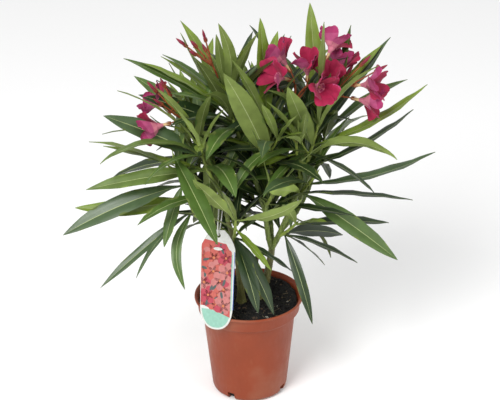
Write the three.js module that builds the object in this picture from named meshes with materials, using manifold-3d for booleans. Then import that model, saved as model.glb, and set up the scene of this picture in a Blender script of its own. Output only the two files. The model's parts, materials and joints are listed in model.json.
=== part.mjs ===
// A flowering oleander in a plastic nursery pot, with its hanging plant label.
// Millimetres, +Z up. The origin is the centre of the pot's flat underside.
// Headings are degrees round +Z from +X, and rises are degrees above the level.

import * as THREE from "three";
import { mergeVertices } from "three/addons/utils/BufferGeometryUtils.js";
import Module from "manifold-3d";

// ---------------------------------------------------------------- driving sizes

const CLEAR = 0.3;
const FINEST = 0.03;

const POT = {
  height: 135,
  rim: 70,
  lip: 4,
  collarTop: 66,
  collarFoot: 64,
  collarHeight: 20,
  bevel: 5,
  neck: 59.5,
  shoulder: 48.8,
  shoulderHeight: 6,
  foot: 41,
  wall: 1.8,
  floor: 3,
};
const NOTCH = { count: 4, heading: -120, width: 10, height: 11, reach: 60 };
const SOIL_TOP = 121;
const ROUND_SIDES = 36;

const STEM_SIDES = 8;
const SHOOT_SIDES = 5;
const TWIG_SIDES = 3;
const ROOT_FLARE = { extra: 3, height: 9 };

const LEAF = {
  aspect: 0.15,
  thickness: 1.6,
  fold: 0.16,
  petiole: 0.7,
  fullness: 2.5,
  rootInset: 1,
  stations: [0, 0.24, 0.5, 0.77, 1],
  ruleStations: [0, 0.28, 0.64, 1],
};
const WHORL = { count: 3, open: [88, 24], bend: [60, 14] };
const SHOOT = { foot: 2.4, tip: 1.5, bud: 9, bareFoot: 12 };
const SIDE = { length: 46, foot: 1.6, tip: 1, leaf: 0.68, whorls: 2, rise: 42 };

const FLOWER = { length: 32, mouth: 22, throat: 7, tube: 2, lobes: 5, notch: 0.6 };
const BUD = { length: 19, girth: 2.7, sides: 4 };
const STALK = { foot: 1.3, tip: 0.9 };

const LABEL = {
  width: 46,
  height: 127,
  thickness: 0.9,
  foot: [-42, -64, 120],
  heading: -112,
  lean: 17,
  side: 4,
  hole: 3,
  holeDrop: 7,
};
const LOOP = { radius: 0.8, grip: 4.6, stand: 2.6, bough: "bough_left", at: 0.53 };

// ---------------------------------------------------------------- stems and boughs

// Each limb runs from its foot past its knee to its tip, tapering between its two radii. "off"
// names the limbs whose sides it grows from, and "at" is the share along the first of them.
const LIMBS = [
  { name: "stem_main", foot: [15, 15, SOIL_TOP + CLEAR], knee: [25, 15, 150], tip: [30, 10, 195],
    radii: [5.2, 4.1], rooted: true, off: [] },
  { name: "stem_left", foot: [-10, 5, SOIL_TOP + CLEAR], knee: [-10, -10, 190], tip: [-25, -20, 250],
    radii: [4.4, 3], rooted: true, off: [] },
  { name: "cut_stub", foot: [5, 35, SOIL_TOP + CLEAR], knee: [5, 35, 145], tip: [10, 30, 170],
    radii: [4.2, 3.6], rooted: true, off: [] },
  { name: "bough_right", off: ["stem_main"], at: 1, knee: [50, 0, 240], tip: [70, 0, 305],
    radii: [3.7, 2.8] },
  { name: "bough_centre", off: ["stem_main", "bough_right"], at: 0.97, knee: [15, 0, 255],
    tip: [30, -10, 310], radii: [3.3, 2.6] },
  { name: "bough_back", off: ["stem_main", "bough_right", "bough_centre"], at: 0.98,
    knee: [30, 40, 235], tip: [20, 60, 290], radii: [3.2, 2.5] },
  { name: "bough_back_right", off: ["bough_right"], at: 0.3, knee: [70, 30, 240],
    tip: [85, 55, 280], radii: [2.9, 2.4] },
  { name: "bough_top_left", off: ["bough_centre"], at: 0.45, knee: [5, 10, 310],
    tip: [-10, 10, 350], radii: [2.8, 2.3] },
  { name: "bough_left", off: ["stem_left"], at: 1, knee: [-30, -20, 290], tip: [-45, -20, 310],
    radii: [2.9, 2.4] },
  { name: "bough_left_low", off: ["stem_left"], at: 0.85, knee: [-40, -10, 235],
    tip: [-65, -15, 255], radii: [2.6, 2.2] },
  { name: "bough_back_left", off: ["stem_left"], at: 0.7, knee: [-30, 20, 240],
    tip: [-50, 50, 285], radii: [2.8, 2.3] },
];

// ---------------------------------------------------------------- leafy shoots

// The ways a leaf is held: its rise above the level, and how far it curls down to its tip.
const POSE = {
  upright: [80, 5],
  steep: [70, 10],
  leaning: [60, 10],
  slanting: [50, 0],
  rising: [35, 20],
  flared: [30, -30],
  climbing: [25, 10],
  lifted: [15, 0],
  swept: [15, -30],
  level: [-5, 10],
  arched: [5, 80],
  bowed: [65, 140],
  dipping: [-20, 20],
  sloping: [-35, 10],
  falling: [-45, 20],
  hanging: [-55, 20],
};

// A set leaf takes the place of the rule's nearest leaf in its whorl.
function set(whorl, heading, pose, length, roll = 0) {
  const [rise, bend] = POSE[pose];
  return { whorl, heading, rise, length, bend, roll };
}

// A flower or bud: the heading, rise and reach of its stalk, and for a flower the way it faces.
function bloom(stalk, faces) {
  return { stalk, faces };
}

const SHOOTS = [
  { name: "shoot_right_top", off: ["bough_right"], at: 1, tip: [90, 5, 380], sag: 4,
    whorls: 6, leaf: 130, turn: 40, sides: 1,
    leaves: [
      set(0, 0, "flared", 150), set(1, -20, "arched", 120, -60), set(1, 120, "level", 100),
      set(2, 0, "flared", 160, 10), set(2, -110, "slanting", 150, 20), set(3, 20, "slanting", 150),
      set(4, 30, "steep", 130), set(4, 100, "steep", 150), set(4, 20, "bowed", 120),
      set(5, -90, "steep", 150, 60), set(5, 160, "slanting", 140),
    ],
    truss: [0, 65, 30],
    flowers: [
      bloom([150, 80, 45], [50, 50]), bloom([-90, 40, 10], [-120, 70]),
      bloom([60, 40, 20], [50, 65]), bloom([0, 25, 30], [-20, 10]), bloom([-10, -5, 25], [-10, -10]),
    ],
    buds: [bloom([10, 45, 50]), bloom([0, 30, 60]), bloom([40, 40, 30])] },
  { name: "shoot_right_inner", off: ["bough_right", "shoot_right_top"], at: 0.9,
    tip: [60, -5, 350], sag: 6, whorls: 4, leaf: 115, turn: 95, sides: 0,
    leaves: [set(0, -140, "lifted", 90), set(2, -150, "level", 90)],
    truss: [180, 85, 50],
    flowers: [
      bloom([-120, 80, 35], [-150, 20]), bloom([100, 70, 40], [150, 50]),
      bloom([0, 60, 35], [-100, 80]), bloom([-30, 50, 40], [-60, 10]),
    ],
    buds: [bloom([160, 50, 25])] },
  { name: "shoot_centre", off: ["bough_centre"], at: 1, tip: [25, -5, 375], sag: 0,
    whorls: 4, leaf: 130, turn: 75, sides: 1,
    leaves: [
      set(0, -130, "leaning", 170, 50), set(1, 180, "lifted", 130), set(2, 180, "slanting", 140),
      set(3, 110, "upright", 130, 20),
    ] },
  { name: "shoot_top_left", off: ["bough_top_left"], at: 1, tip: [-25, 15, 400], sag: 0,
    whorls: 5, leaf: 120, turn: 10, sides: 0,
    leaves: [
      set(0, -170, "climbing", 130, -40), set(1, -170, "rising", 160, -20),
      set(1, -140, "leaning", 110, 20), set(2, -170, "rising", 130, -10),
      set(2, 160, "rising", 110), set(3, 180, "leaning", 110), set(4, -100, "steep", 120, 20),
      set(4, -130, "upright", 90, 40),
    ],
    truss: [180, 70, 45],
    flowers: [],
    buds: [
      bloom([180, 40, 40]), bloom([-150, 40, 30]), bloom([170, 50, 30]), bloom([-150, 75, 35]),
      bloom([130, 50, 20]),
    ] },
  { name: "shoot_left_mid", off: ["bough_left"], at: 1, tip: [-65, -10, 370], sag: 5,
    whorls: 4, leaf: 125, turn: 60, sides: 1,
    leaves: [
      set(0, -170, "level", 150, -30), set(0, -70, "arched", 110), set(0, 180, "lifted", 130),
      set(1, -160, "arched", 140), set(1, 180, "climbing", 130, -40),
    ],
    truss: [170, 45, 20],
    flowers: [bloom([170, 30, 15], [150, 30]), bloom([-170, -20, 15], [-170, -10])],
    buds: [bloom([180, 50, 45]), bloom([180, 65, 45]), bloom([150, 60, 30]), bloom([-170, 40, 30])] },
  { name: "shoot_left_low", off: ["bough_left_low"], at: 1, tip: [-90, -20, 340], sag: 14,
    whorls: 5, leaf: 125, turn: 20, sides: 0,
    leaves: [
      set(0, -160, "sloping", 150, -30), set(0, -100, "hanging", 100), set(0, -140, "sloping", 110),
      set(1, 180, "level", 140, -40), set(2, -170, "dipping", 160, -40),
      set(2, -120, "hanging", 80), set(4, -60, "sloping", 130),
    ] },
  { name: "shoot_front_low", off: ["stem_left", "bough_left_low"], at: 0.75, tip: [-15, -35, 260],
    sag: 6, whorls: 3, leaf: 100, turn: 0, sides: 0,
    leaves: [
      set(0, -40, "hanging", 110), set(0, -60, "hanging", 100), set(0, 0, "sloping", 90),
      set(1, -40, "sloping", 70), set(2, -40, "flared", 120, -60), set(2, -150, "slanting", 90),
    ] },
  { name: "shoot_right_low", off: ["bough_right", "bough_back_right"], at: 0.2,
    tip: [60, -10, 240], sag: 4, whorls: 2, leaf: 110, turn: 30, sides: 0,
    leaves: [
      set(0, -10, "dipping", 100), set(0, -60, "hanging", 120, 40), set(0, 20, "falling", 80),
      set(1, 10, "level", 120, 10), set(0, 40, "dipping", 110, 30),
    ] },
  { name: "shoot_right_mid", off: ["bough_right"], at: 0.75, tip: [85, -20, 315], sag: 6,
    whorls: 3, leaf: 125, turn: 45, sides: 0,
    leaves: [
      set(0, -10, "sloping", 150, 40), set(0, 0, "level", 140), set(0, -120, "climbing", 90, 70),
      set(1, 0, "swept", 160),
    ] },
  { name: "shoot_front_centre", off: ["bough_centre"], at: 0.6, tip: [30, -45, 300], sag: 8,
    whorls: 3, leaf: 105, turn: 25, sides: 0,
    leaves: [set(0, -10, "level", 110), set(1, 160, "lifted", 100)] },
  { name: "shoot_left_back", off: ["bough_left"], at: 0.25, tip: [-60, 20, 305], sag: 8,
    whorls: 3, leaf: 118, turn: 85, sides: 0, leaves: [] },
  { name: "shoot_back_top", off: ["bough_back"], at: 1, tip: [15, 70, 380], sag: 0,
    whorls: 5, leaf: 135, turn: 15, sides: 1, leaves: [] },
  { name: "shoot_back_low", off: ["bough_back"], at: 0.35, tip: [25, 75, 260], sag: 8,
    whorls: 2, leaf: 125, turn: 50, sides: 0, leaves: [] },
  { name: "shoot_back_right", off: ["bough_back_right"], at: 1, tip: [105, 70, 350], sag: 4,
    whorls: 4, leaf: 130, turn: 0, sides: 1, leaves: [] },
  { name: "shoot_back_left", off: ["bough_back_left"], at: 1, tip: [-70, 75, 350], sag: 4,
    whorls: 4, leaf: 130, turn: 35, sides: 1, leaves: [] },
];

// A bough's or shoot's foot lies on the first limb that it grows from.
for (const grown of [...LIMBS, ...SHOOTS].filter((each) => each.off.length > 0)) {
  const parent = LIMBS.find((limb) => limb.name === grown.off[0]);
  grown.foot = bezier(parent.foot, parent.knee, parent.tip).getPoint(grown.at).toArray();
}

// ---------------------------------------------------------------- solids

const wasm = await Module();
wasm.setup();

function toSolid(geometry) {
  const bare = geometry.clone();
  bare.deleteAttribute("normal");
  bare.deleteAttribute("uv");
  const merged = mergeVertices(bare, 1e-4);
  return new wasm.Manifold(new wasm.Mesh({
    numProp: 3,
    vertProperties: new Float32Array(merged.attributes.position.array),
    triVerts: new Uint32Array(merged.index.array),
  }));
}

function toGeometry(solid) {
  const mesh = solid.getMesh();
  const geometry = new THREE.BufferGeometry();
  geometry.setAttribute("position", new THREE.BufferAttribute(mesh.vertProperties, 3));
  geometry.setIndex(new THREE.BufferAttribute(mesh.triVerts, 1));
  geometry.computeVertexNormals();
  return geometry;
}

// The largest closed body, without the hollows that joining seals inside it or edges that are
// shorter than the finest detail.
function largestBody(solid) {
  const bodies = solid.simplify(FINEST).decompose();
  return bodies.reduce((best, body) => (body.volume() > best.volume() ? body : best));
}

function joinAll(solids) {
  return solids.reduce((whole, solid) => whole.add(solid));
}

function boxesMeet(a, b) {
  return a.min.every((low, axis) => low <= b.max[axis] && b.min[axis] <= a.max[axis]);
}

// ---------------------------------------------------------------- directions

const RADIANS = Math.PI / 180;

function direction(heading, rise) {
  const level = Math.cos(rise * RADIANS);
  return new THREE.Vector3(
    level * Math.cos(heading * RADIANS),
    level * Math.sin(heading * RADIANS),
    Math.sin(rise * RADIANS),
  );
}

// The point that lies a reach away along a heading and rise.
function outFrom(point, [heading, rise, reach]) {
  return point.clone().addScaledVector(direction(heading, rise), reach);
}

function headingAndRise(vector) {
  const unit = vector.clone().normalize();
  return {
    heading: Math.atan2(unit.y, unit.x) / RADIANS,
    rise: Math.asin(unit.z) / RADIANS,
  };
}

// The difference between two headings, from 0 to 180 degrees.
function apart(first, second) {
  const turn = Math.abs(first - second) % 360;
  return Math.min(turn, 360 - turn);
}

// A repeatable number from 0 to 1 for a list of small whole numbers.
function chance(...keys) {
  let hash = 2166136261;
  for (const key of keys) {
    hash = Math.imul(hash ^ key, 16777619) >>> 0;
    hash = (hash ^ (hash >>> 13)) >>> 0;
  }
  hash = Math.imul(hash, 2246822519) >>> 0;
  hash = (hash ^ (hash >>> 15)) >>> 0;
  return hash / 4294967296;
}

function mix(from, to, share) {
  return from + (to - from) * share;
}

// ---------------------------------------------------------------- limbs

function bezier(foot, knee, tip) {
  return new THREE.QuadraticBezierCurve3(
    new THREE.Vector3(...foot),
    new THREE.Vector3(...knee),
    new THREE.Vector3(...tip),
  );
}

// A round bar that follows a curve. Its radius is a function of the share of the way along.
function taperedBar(curve, sides, segments, radiusAt, pointed = false) {
  const bar = new THREE.CylinderGeometry(pointed ? 0 : 1, 1, 1, sides, segments);
  const place = bar.attributes.position;
  const start = new THREE.Vector3(0, 1, 0);
  for (let i = 0; i < place.count; i += 1) {
    const along = Math.min(1, Math.max(0, place.getY(i) + 0.5));
    const tangent = curve.getTangent(along);
    const across = start.clone().cross(tangent).normalize();
    const beside = tangent.clone().cross(across);
    const reach = Math.hypot(place.getX(i), place.getZ(i)) > 1e-6 ? radiusAt(along) : 0;
    const angle = Math.atan2(place.getZ(i), place.getX(i));
    const point = curve.getPoint(along);
    point.addScaledVector(across, -reach * Math.cos(angle));
    point.addScaledVector(beside, reach * Math.sin(angle));
    place.setXYZ(i, point.x, point.y, point.z);
  }
  return bar;
}

function limbBar(limb, swell) {
  const curve = bezier(limb.foot, limb.knee, limb.tip);
  const length = curve.getLength();
  const radiusAt = (along) => {
    const flare = limb.rooted ? ROOT_FLARE.extra * Math.exp((-along * length) / ROOT_FLARE.height) : 0;
    return mix(limb.radii[0], limb.radii[1], along) + flare + swell;
  };
  return taperedBar(curve, STEM_SIDES, limb.rooted ? 8 : 5, radiusAt);
}

// The foot of a rooted stem is a flat, level cut.
function levelFoot(bar, floor) {
  const place = bar.attributes.position;
  for (let i = 0; i < place.count; i += 1) {
    if (place.getZ(i) < floor + ROOT_FLARE.extra + 1) {
      place.setZ(i, floor);
    }
  }
  return bar;
}

// A slightly swollen copy, used to cut its neighbours clear of it.
function swollenLimb(limb) {
  const [foot, knee, tip] = [limb.foot, limb.knee, limb.tip].map((at) => new THREE.Vector3(...at));
  const stretched = {
    ...limb,
    rooted: false,
    foot: foot.clone().add(foot.clone().sub(knee).setLength(CLEAR)).toArray(),
    tip: tip.clone().add(tip.clone().sub(knee).setLength(CLEAR)).toArray(),
  };
  return toSolid(limbBar(stretched, CLEAR * 1.1));
}

// ---------------------------------------------------------------- leaves

// Points, tangents and face normals along a leaf that bends over as it runs out.
function leafSpine(leaf) {
  const steps = 40;
  const point = new THREE.Vector3(...leaf.base);
  point.addScaledVector(direction(leaf.heading, 0), LEAF.rootInset);
  const spine = [];
  for (let i = 0; i <= steps; i += 1) {
    const along = i / steps;
    const pitch = leaf.rise + leaf.bend * (0.5 - along);
    const tangent = direction(leaf.heading, pitch);
    const side = direction(leaf.heading + 90, 0);
    const up = tangent.clone().cross(side);
    const roll = leaf.roll * Math.min(1, along * 3) * RADIANS;
    spine.push({
      point: point.clone(),
      side: side.clone().multiplyScalar(Math.cos(roll)).addScaledVector(up, Math.sin(roll)),
      up: up.clone().multiplyScalar(Math.cos(roll)).addScaledVector(side, -Math.sin(roll)),
    });
    const middle = direction(leaf.heading, leaf.rise + leaf.bend * (0.5 - along - 0.5 / steps));
    point.addScaledVector(middle, leaf.length / steps);
  }
  return spine;
}

function leafHalfWidth(leaf, along) {
  const blade = 0.5 * leaf.length * LEAF.aspect * (1 - Math.abs(2 * along - 1) ** LEAF.fullness);
  return Math.max(LEAF.petiole, blade);
}

// A lance-shaped blade with a groove along its upper face and a keel below.
function leafGeometry(leaf, swell = 0, skipped = 0) {
  const spine = leafSpine(leaf);
  const stations = (leaf.byRule ? LEAF.ruleStations : LEAF.stations).slice(skipped);
  const rings = stations.length - 1;
  const cone = new THREE.ConeGeometry(1, 1, 4, rings);
  const place = cone.attributes.position;
  for (let i = 0; i < place.count; i += 1) {
    const ring = Math.round((place.getY(i) + 0.5) * rings);
    const along = stations[ring];
    const frame = spine[Math.round(along * (spine.length - 1))];
    const away = place.getX(i) / (1 - ring / rings || 1);
    const above = place.getZ(i) / (1 - ring / rings || 1);
    const half = leafHalfWidth(leaf, along) + swell;
    const lift = half * LEAF.fold;
    const thick = LEAF.thickness * (along === 0 ? 0.7 : 1);
    const point = frame.point.clone();
    if (ring < rings) {
      const keel = above < -0.5 ? -thick : 0;
      point.addScaledVector(frame.side, -half * away);
      point.addScaledVector(frame.up, Math.abs(away) * lift + keel + thick / 2 + swell * above);
    }
    place.setXYZ(i, point.x, point.y, point.z);
  }
  return cone;
}

// ---------------------------------------------------------------- flowers and buds

function standAt(geometry, seat, heading, rise) {
  const turn = new THREE.Quaternion().setFromUnitVectors(
    new THREE.Vector3(0, 0, 1),
    direction(heading, rise),
  );
  geometry.rotateX(Math.PI / 2);
  geometry.applyQuaternion(turn);
  geometry.translate(...seat);
  return geometry;
}

// A narrow tube that opens into a funnel of five lobes.
function flowerGeometry(seat, heading, rise) {
  const { length, mouth, throat, tube, lobes } = FLOWER;
  const profile = [
    [0, 0], [tube, length * 0.3], [throat, length * 0.66], [mouth, length * 0.94],
    [mouth - 0.8, length], [0, length * 0.52],
  ];
  const shell = new THREE.LatheGeometry(profile.map(([r, z]) => new THREE.Vector2(r, z)), lobes * 2);
  const place = shell.attributes.position;
  for (let i = 0; i < place.count; i += 1) {
    const reach = Math.hypot(place.getX(i), place.getZ(i));
    const sector = Math.round((Math.atan2(place.getX(i), place.getZ(i)) / Math.PI) * lobes);
    if (reach > throat + 1 && sector % 2 !== 0) {
      place.setX(i, place.getX(i) * FLOWER.notch);
      place.setZ(i, place.getZ(i) * FLOWER.notch);
    }
  }
  return standAt(shell, seat, heading, rise);
}

function budGeometry(seat, heading, rise) {
  const { length, girth, sides } = BUD;
  const profile = [[0, 0], [girth * 0.6, length * 0.06], [girth, length * 0.42], [0, length]];
  const spindle = new THREE.LatheGeometry(profile.map(([r, z]) => new THREE.Vector2(r, z)), sides);
  return standAt(spindle, seat, heading, rise);
}

// The cluster at a shoot's tip: one stalk up to the hub and a stalk from there to each bloom.
function trussGeometries(shoot) {
  const hub = outFrom(new THREE.Vector3(...shoot.tip), shoot.truss);
  const radiusAt = (along) => mix(STALK.foot, STALK.tip, along);
  const knee = new THREE.Vector3(...shoot.tip).lerp(hub, 0.5).add(new THREE.Vector3(0, 0, 4));
  const stalk = bezier(shoot.tip, knee.toArray(), hub.toArray());
  const parts = [taperedBar(stalk, TWIG_SIDES + 1, 3, radiusAt)];
  for (const seat of [...shoot.flowers, ...shoot.buds]) {
    const at = outFrom(hub, seat.stalk);
    const [heading, rise] = seat.faces ?? seat.stalk;
    const end = at.clone().addScaledVector(direction(heading, rise), 1);
    const bend = at.clone().addScaledVector(direction(heading, rise), -0.4 * seat.stalk[2]);
    const curve = bezier(hub.toArray(), bend.toArray(), end.toArray());
    parts.push(taperedBar(curve, TWIG_SIDES, 2, () => STALK.tip));
    const shape = seat.faces ? flowerGeometry : budGeometry;
    parts.push(shape(at.toArray(), heading, rise));
  }
  return parts;
}

// ---------------------------------------------------------------- the shoot rule

function shootCurve(shoot) {
  const knee = shoot.foot.map((low, axis) => (low + shoot.tip[axis]) / 2);
  knee[2] -= shoot.sag;
  return bezier(shoot.foot, knee, shoot.tip);
}

function whorlShare(stem, whorl) {
  const share = stem.whorls > 1 ? whorl / (stem.whorls - 1) : 1;
  return mix(SHOOT.bareFoot / shootCurve(stem).getLength(), 1, share ** 0.9);
}

// The three leaves of one whorl, set out round the stem's own direction.
function ruleLeaves(curve, stem, whorl, seed) {
  const along = whorlShare(stem, whorl);
  const height = stem.whorls > 1 ? whorl / (stem.whorls - 1) : 1;
  const upright = new THREE.Quaternion().setFromUnitVectors(
    new THREE.Vector3(0, 0, 1),
    curve.getTangent(along),
  );
  const leaves = [];
  for (let j = 0; j < WHORL.count; j += 1) {
    const open = mix(WHORL.open[0], WHORL.open[1], height) + 16 * (chance(seed, whorl, j, 1) - 0.5);
    const round = stem.turn + 60 * whorl + 120 * j + 24 * (chance(seed, whorl, j, 2) - 0.5);
    const away = headingAndRise(direction(round, 90 - open).applyQuaternion(upright));
    leaves.push({
      base: curve.getPoint(along).toArray(),
      heading: away.heading,
      rise: away.rise,
      length: stem.leaf * mix(1.06, 0.84, height ** 2) * mix(0.88, 1.1, chance(seed, whorl, j, 3)),
      bend: mix(WHORL.bend[0], WHORL.bend[1], height) * mix(0.6, 1.3, chance(seed, whorl, j, 4)),
      roll: 50 * (chance(seed, whorl, j, 5) - 0.5),
      byRule: true,
    });
  }
  return leaves;
}

// The rule's whorl with each set leaf in the place of the nearest one.
function whorlLeaves(curve, stem, whorl, seed) {
  const leaves = ruleLeaves(curve, stem, whorl, seed);
  for (const chosen of (stem.leaves ?? []).filter((leaf) => leaf.whorl === whorl)) {
    const spare = leaves.filter((leaf) => leaf.byRule && apart(leaf.heading, chosen.heading) < 75);
    spare.sort((a, b) => apart(a.heading, chosen.heading) - apart(b.heading, chosen.heading));
    if (spare.length > 0) {
      leaves.splice(leaves.indexOf(spare[0]), 1);
    }
    leaves.push({ ...chosen, base: curve.getPoint(whorlShare(stem, whorl)).toArray() });
  }
  return leaves;
}

// The ways a leaf may turn aside to keep clear of its neighbours, in the order they are tried.
const RULE_TRIES = [
  [0, 0], [14, 6], [-14, 6], [28, -8], [-28, -8], [8, 18], [-8, -18], [40, 10], [-40, 10],
];
const SET_TRIES = [
  [0, 0], [3, 2], [-3, -2], [5, -4], [-5, 4], [8, 3], [-8, -3], [0, 8], [0, -8], [14, 0], [-14, 0],
  [20, -6], [-20, -6], [28, 4], [-28, 4],
];

function triesFor(leaf) {
  const tries = leaf.byRule ? RULE_TRIES : SET_TRIES;
  return tries.map(([turn, lift]) => ({
    ...leaf,
    heading: leaf.heading + turn,
    rise: Math.min(86, leaf.rise + lift),
  }));
}

function sideTwigs(shoot, curve, seed) {
  const twigs = [];
  for (let k = 0; k < shoot.sides; k += 1) {
    const along = mix(0.3, 0.6, chance(seed, 90 + k, 1));
    const out = direction(shoot.turn + 210 + 137 * k, SIDE.rise);
    const foot = curve.getPoint(along);
    const tip = foot.clone().addScaledVector(out, SIDE.length);
    twigs.push({
      foot: foot.toArray(),
      tip: tip.toArray(),
      sag: SIDE.length * 0.12,
      whorls: SIDE.whorls,
      leaf: shoot.leaf * SIDE.leaf,
      turn: shoot.turn + 30,
    });
  }
  return twigs;
}

// A shoot's or twig's own stem, drawn out to a pointed bud past its last whorl.
function stemGeometry(stem, sides, foot, tip, swell = 0) {
  const curve = shootCurve(stem);
  const past = new THREE.Vector3(...stem.tip).addScaledVector(curve.getTangent(1), SHOOT.bud);
  const path = bezier(stem.foot, curve.v1.toArray(), past.toArray());
  return taperedBar(path, sides, 4, (along) => mix(foot, tip, along) + swell, true);
}

// ---------------------------------------------------------------- pot and soil

function lathe(profile) {
  const points = profile.map(([r, z]) => new THREE.Vector2(r, z));
  return new THREE.LatheGeometry(points, ROUND_SIDES).rotateX(Math.PI / 2);
}

// Inner radius of the pot at a height.
function boreAt(height) {
  const neckHeight = POT.height - POT.collarHeight - POT.bevel;
  const share = (height - POT.floor) / (neckHeight - POT.floor);
  return height <= neckHeight
    ? mix(POT.shoulder - 3, POT.neck, share) - POT.wall
    : mix(POT.neck, POT.collarFoot, Math.min(1, (height - neckHeight) / POT.bevel)) - POT.wall;
}

function buildPot() {
  const collarFoot = POT.height - POT.collarHeight;
  const neckHeight = collarFoot - POT.bevel;
  const lipFoot = POT.height - POT.lip;
  const outside = [
    [0, 0], [POT.foot, 0], [POT.shoulder - 2, 1.6], [POT.shoulder, POT.shoulderHeight],
    [POT.neck, neckHeight], [POT.collarFoot, collarFoot], [POT.collarTop, lipFoot],
    [POT.rim, lipFoot + 1.6], [POT.rim, POT.height],
  ];
  const inside = [
    [POT.rim - 2.2, POT.height], [POT.collarTop - POT.wall, lipFoot - 2],
    [boreAt(collarFoot), collarFoot], [boreAt(neckHeight), neckHeight],
    [boreAt(POT.floor), POT.floor], [0, POT.floor],
  ];
  let pot = toSolid(lathe([...outside, ...inside]));
  for (let k = 0; k < NOTCH.count; k += 1) {
    const notch = new THREE.BoxGeometry(NOTCH.reach, NOTCH.width, NOTCH.height * 2);
    notch.translate(POT.foot - 3 + NOTCH.reach / 2, 0, 0);
    notch.rotateZ((NOTCH.heading + (360 / NOTCH.count) * k) * RADIANS);
    pot = pot.subtract(toSolid(notch));
  }
  return pot;
}

function buildSoil() {
  const bottom = POT.floor + CLEAR;
  const neckHeight = POT.height - POT.collarHeight - POT.bevel;
  const collarFoot = POT.height - POT.collarHeight;
  const gap = CLEAR * 1.5;
  return toSolid(lathe([
    [0, bottom], [boreAt(bottom) - gap, bottom], [boreAt(neckHeight) - gap, neckHeight],
    [boreAt(collarFoot) - gap, collarFoot], [boreAt(collarFoot) - gap, SOIL_TOP], [0, SOIL_TOP],
  ]));
}

// ---------------------------------------------------------------- label and its loop

// The label's own axes: right, up its length, and out of its face.
function labelAxes() {
  const face = direction(LABEL.heading, LABEL.lean);
  const level = direction(LABEL.heading + 90, 0);
  const tilt = LABEL.side * RADIANS;
  const right = level.clone().applyAxisAngle(face, tilt);
  return new THREE.Matrix4().makeBasis(right, face.clone().cross(right), face);
}

function labelShape() {
  const half = LABEL.width / 2;
  const top = LABEL.height;
  const shape = new THREE.Shape();
  shape.moveTo(-half * 0.94, 24);
  shape.quadraticCurveTo(-half * 0.8, 0, 0, 0);
  shape.quadraticCurveTo(half * 0.8, 0, half * 0.94, 24);
  shape.lineTo(half, top - 24);
  shape.quadraticCurveTo(half * 0.9, top - 12, half * 0.35, top);
  shape.lineTo(-half * 0.35, top);
  shape.quadraticCurveTo(-half * 0.9, top - 12, -half, top - 24);
  const hole = new THREE.Path();
  hole.absarc(0, top - LABEL.holeDrop, LABEL.hole, 0, Math.PI * 2, true);
  shape.holes.push(hole);
  return shape;
}

function buildLabel() {
  const plate = new THREE.ExtrudeGeometry(labelShape(), {
    depth: LABEL.thickness,
    bevelEnabled: false,
    curveSegments: 6,
  });
  plate.applyMatrix4(labelAxes());
  plate.translate(...LABEL.foot);
  return toSolid(plate);
}

// A closed loop: through the label's hole, up in front of the bough and round behind it.
function buildLoop() {
  const axes = labelAxes();
  const onLabel = (up, out) => new THREE.Vector3(0, LABEL.height - LABEL.holeDrop + up, out)
    .applyMatrix4(axes)
    .add(new THREE.Vector3(...LABEL.foot));
  const bough = LIMBS.find((limb) => limb.name === LOOP.bough);
  const held = bezier(bough.foot, bough.knee, bough.tip).getPoint(LOOP.at);
  const atBough = (x, y, z) => new THREE.Vector3(x, y, z).multiplyScalar(LOOP.grip).add(held);
  const route = [
    onLabel(0, LABEL.thickness / 2),
    onLabel(LABEL.holeDrop - 1, LABEL.thickness + LOOP.stand),
    atBough(-0.7, -1.2, -2),
    atBough(-1.15, 0, -0.2),
    atBough(0, 1, 0.3),
    atBough(1.15, 0, -0.2),
    atBough(0.7, -1.2, -2),
    onLabel(LABEL.holeDrop - 1, -LOOP.stand),
  ];
  const section = new THREE.Shape().absarc(0, 0, LOOP.radius, 0, Math.PI * 2);
  const ring = new THREE.ExtrudeGeometry(section, {
    steps: 24,
    curveSegments: 3,
    bevelEnabled: false,
    extrudePath: new THREE.CatmullRomCurve3(route, true),
  });
  return toSolid(ring);
}

// ---------------------------------------------------------------- growing the plant

// Every solid placed so far, with its owner and its box.
const placed = [];

function keep(owner, solid) {
  placed.push({ owner, solid, box: solid.boundingBox() });
}

// Whether a solid keeps clear of all that is placed, or of all that has, or hasn't, this owner.
function isClear(solid, counts = () => true) {
  const box = solid.boundingBox();
  return placed.every((other) => (
    !counts(other.owner) || !boxesMeet(box, other.box) || solid.intersect(other.solid).isEmpty()
  ));
}

function growLimbs() {
  const limbs = new Map();
  for (const limb of LIMBS) {
    const bar = limbBar(limb, 0);
    let solid = toSolid(limb.rooted ? levelFoot(bar, SOIL_TOP + CLEAR) : bar);
    for (const name of limb.off) {
      solid = solid.subtract(swollenLimb(LIMBS.find((other) => other.name === name)));
    }
    solid = largestBody(solid);
    limbs.set(limb.name, solid);
    keep(limb.name, solid);
  }
  return limbs;
}

function swollenNeighbour(name) {
  const limb = LIMBS.find((other) => other.name === name);
  if (limb) {
    return swollenLimb(limb);
  }
  const shoot = SHOOTS.find((other) => other.name === name);
  return toSolid(stemGeometry(shoot, SHOOT_SIDES, SHOOT.foot, SHOOT.tip, CLEAR * 1.1));
}

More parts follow.
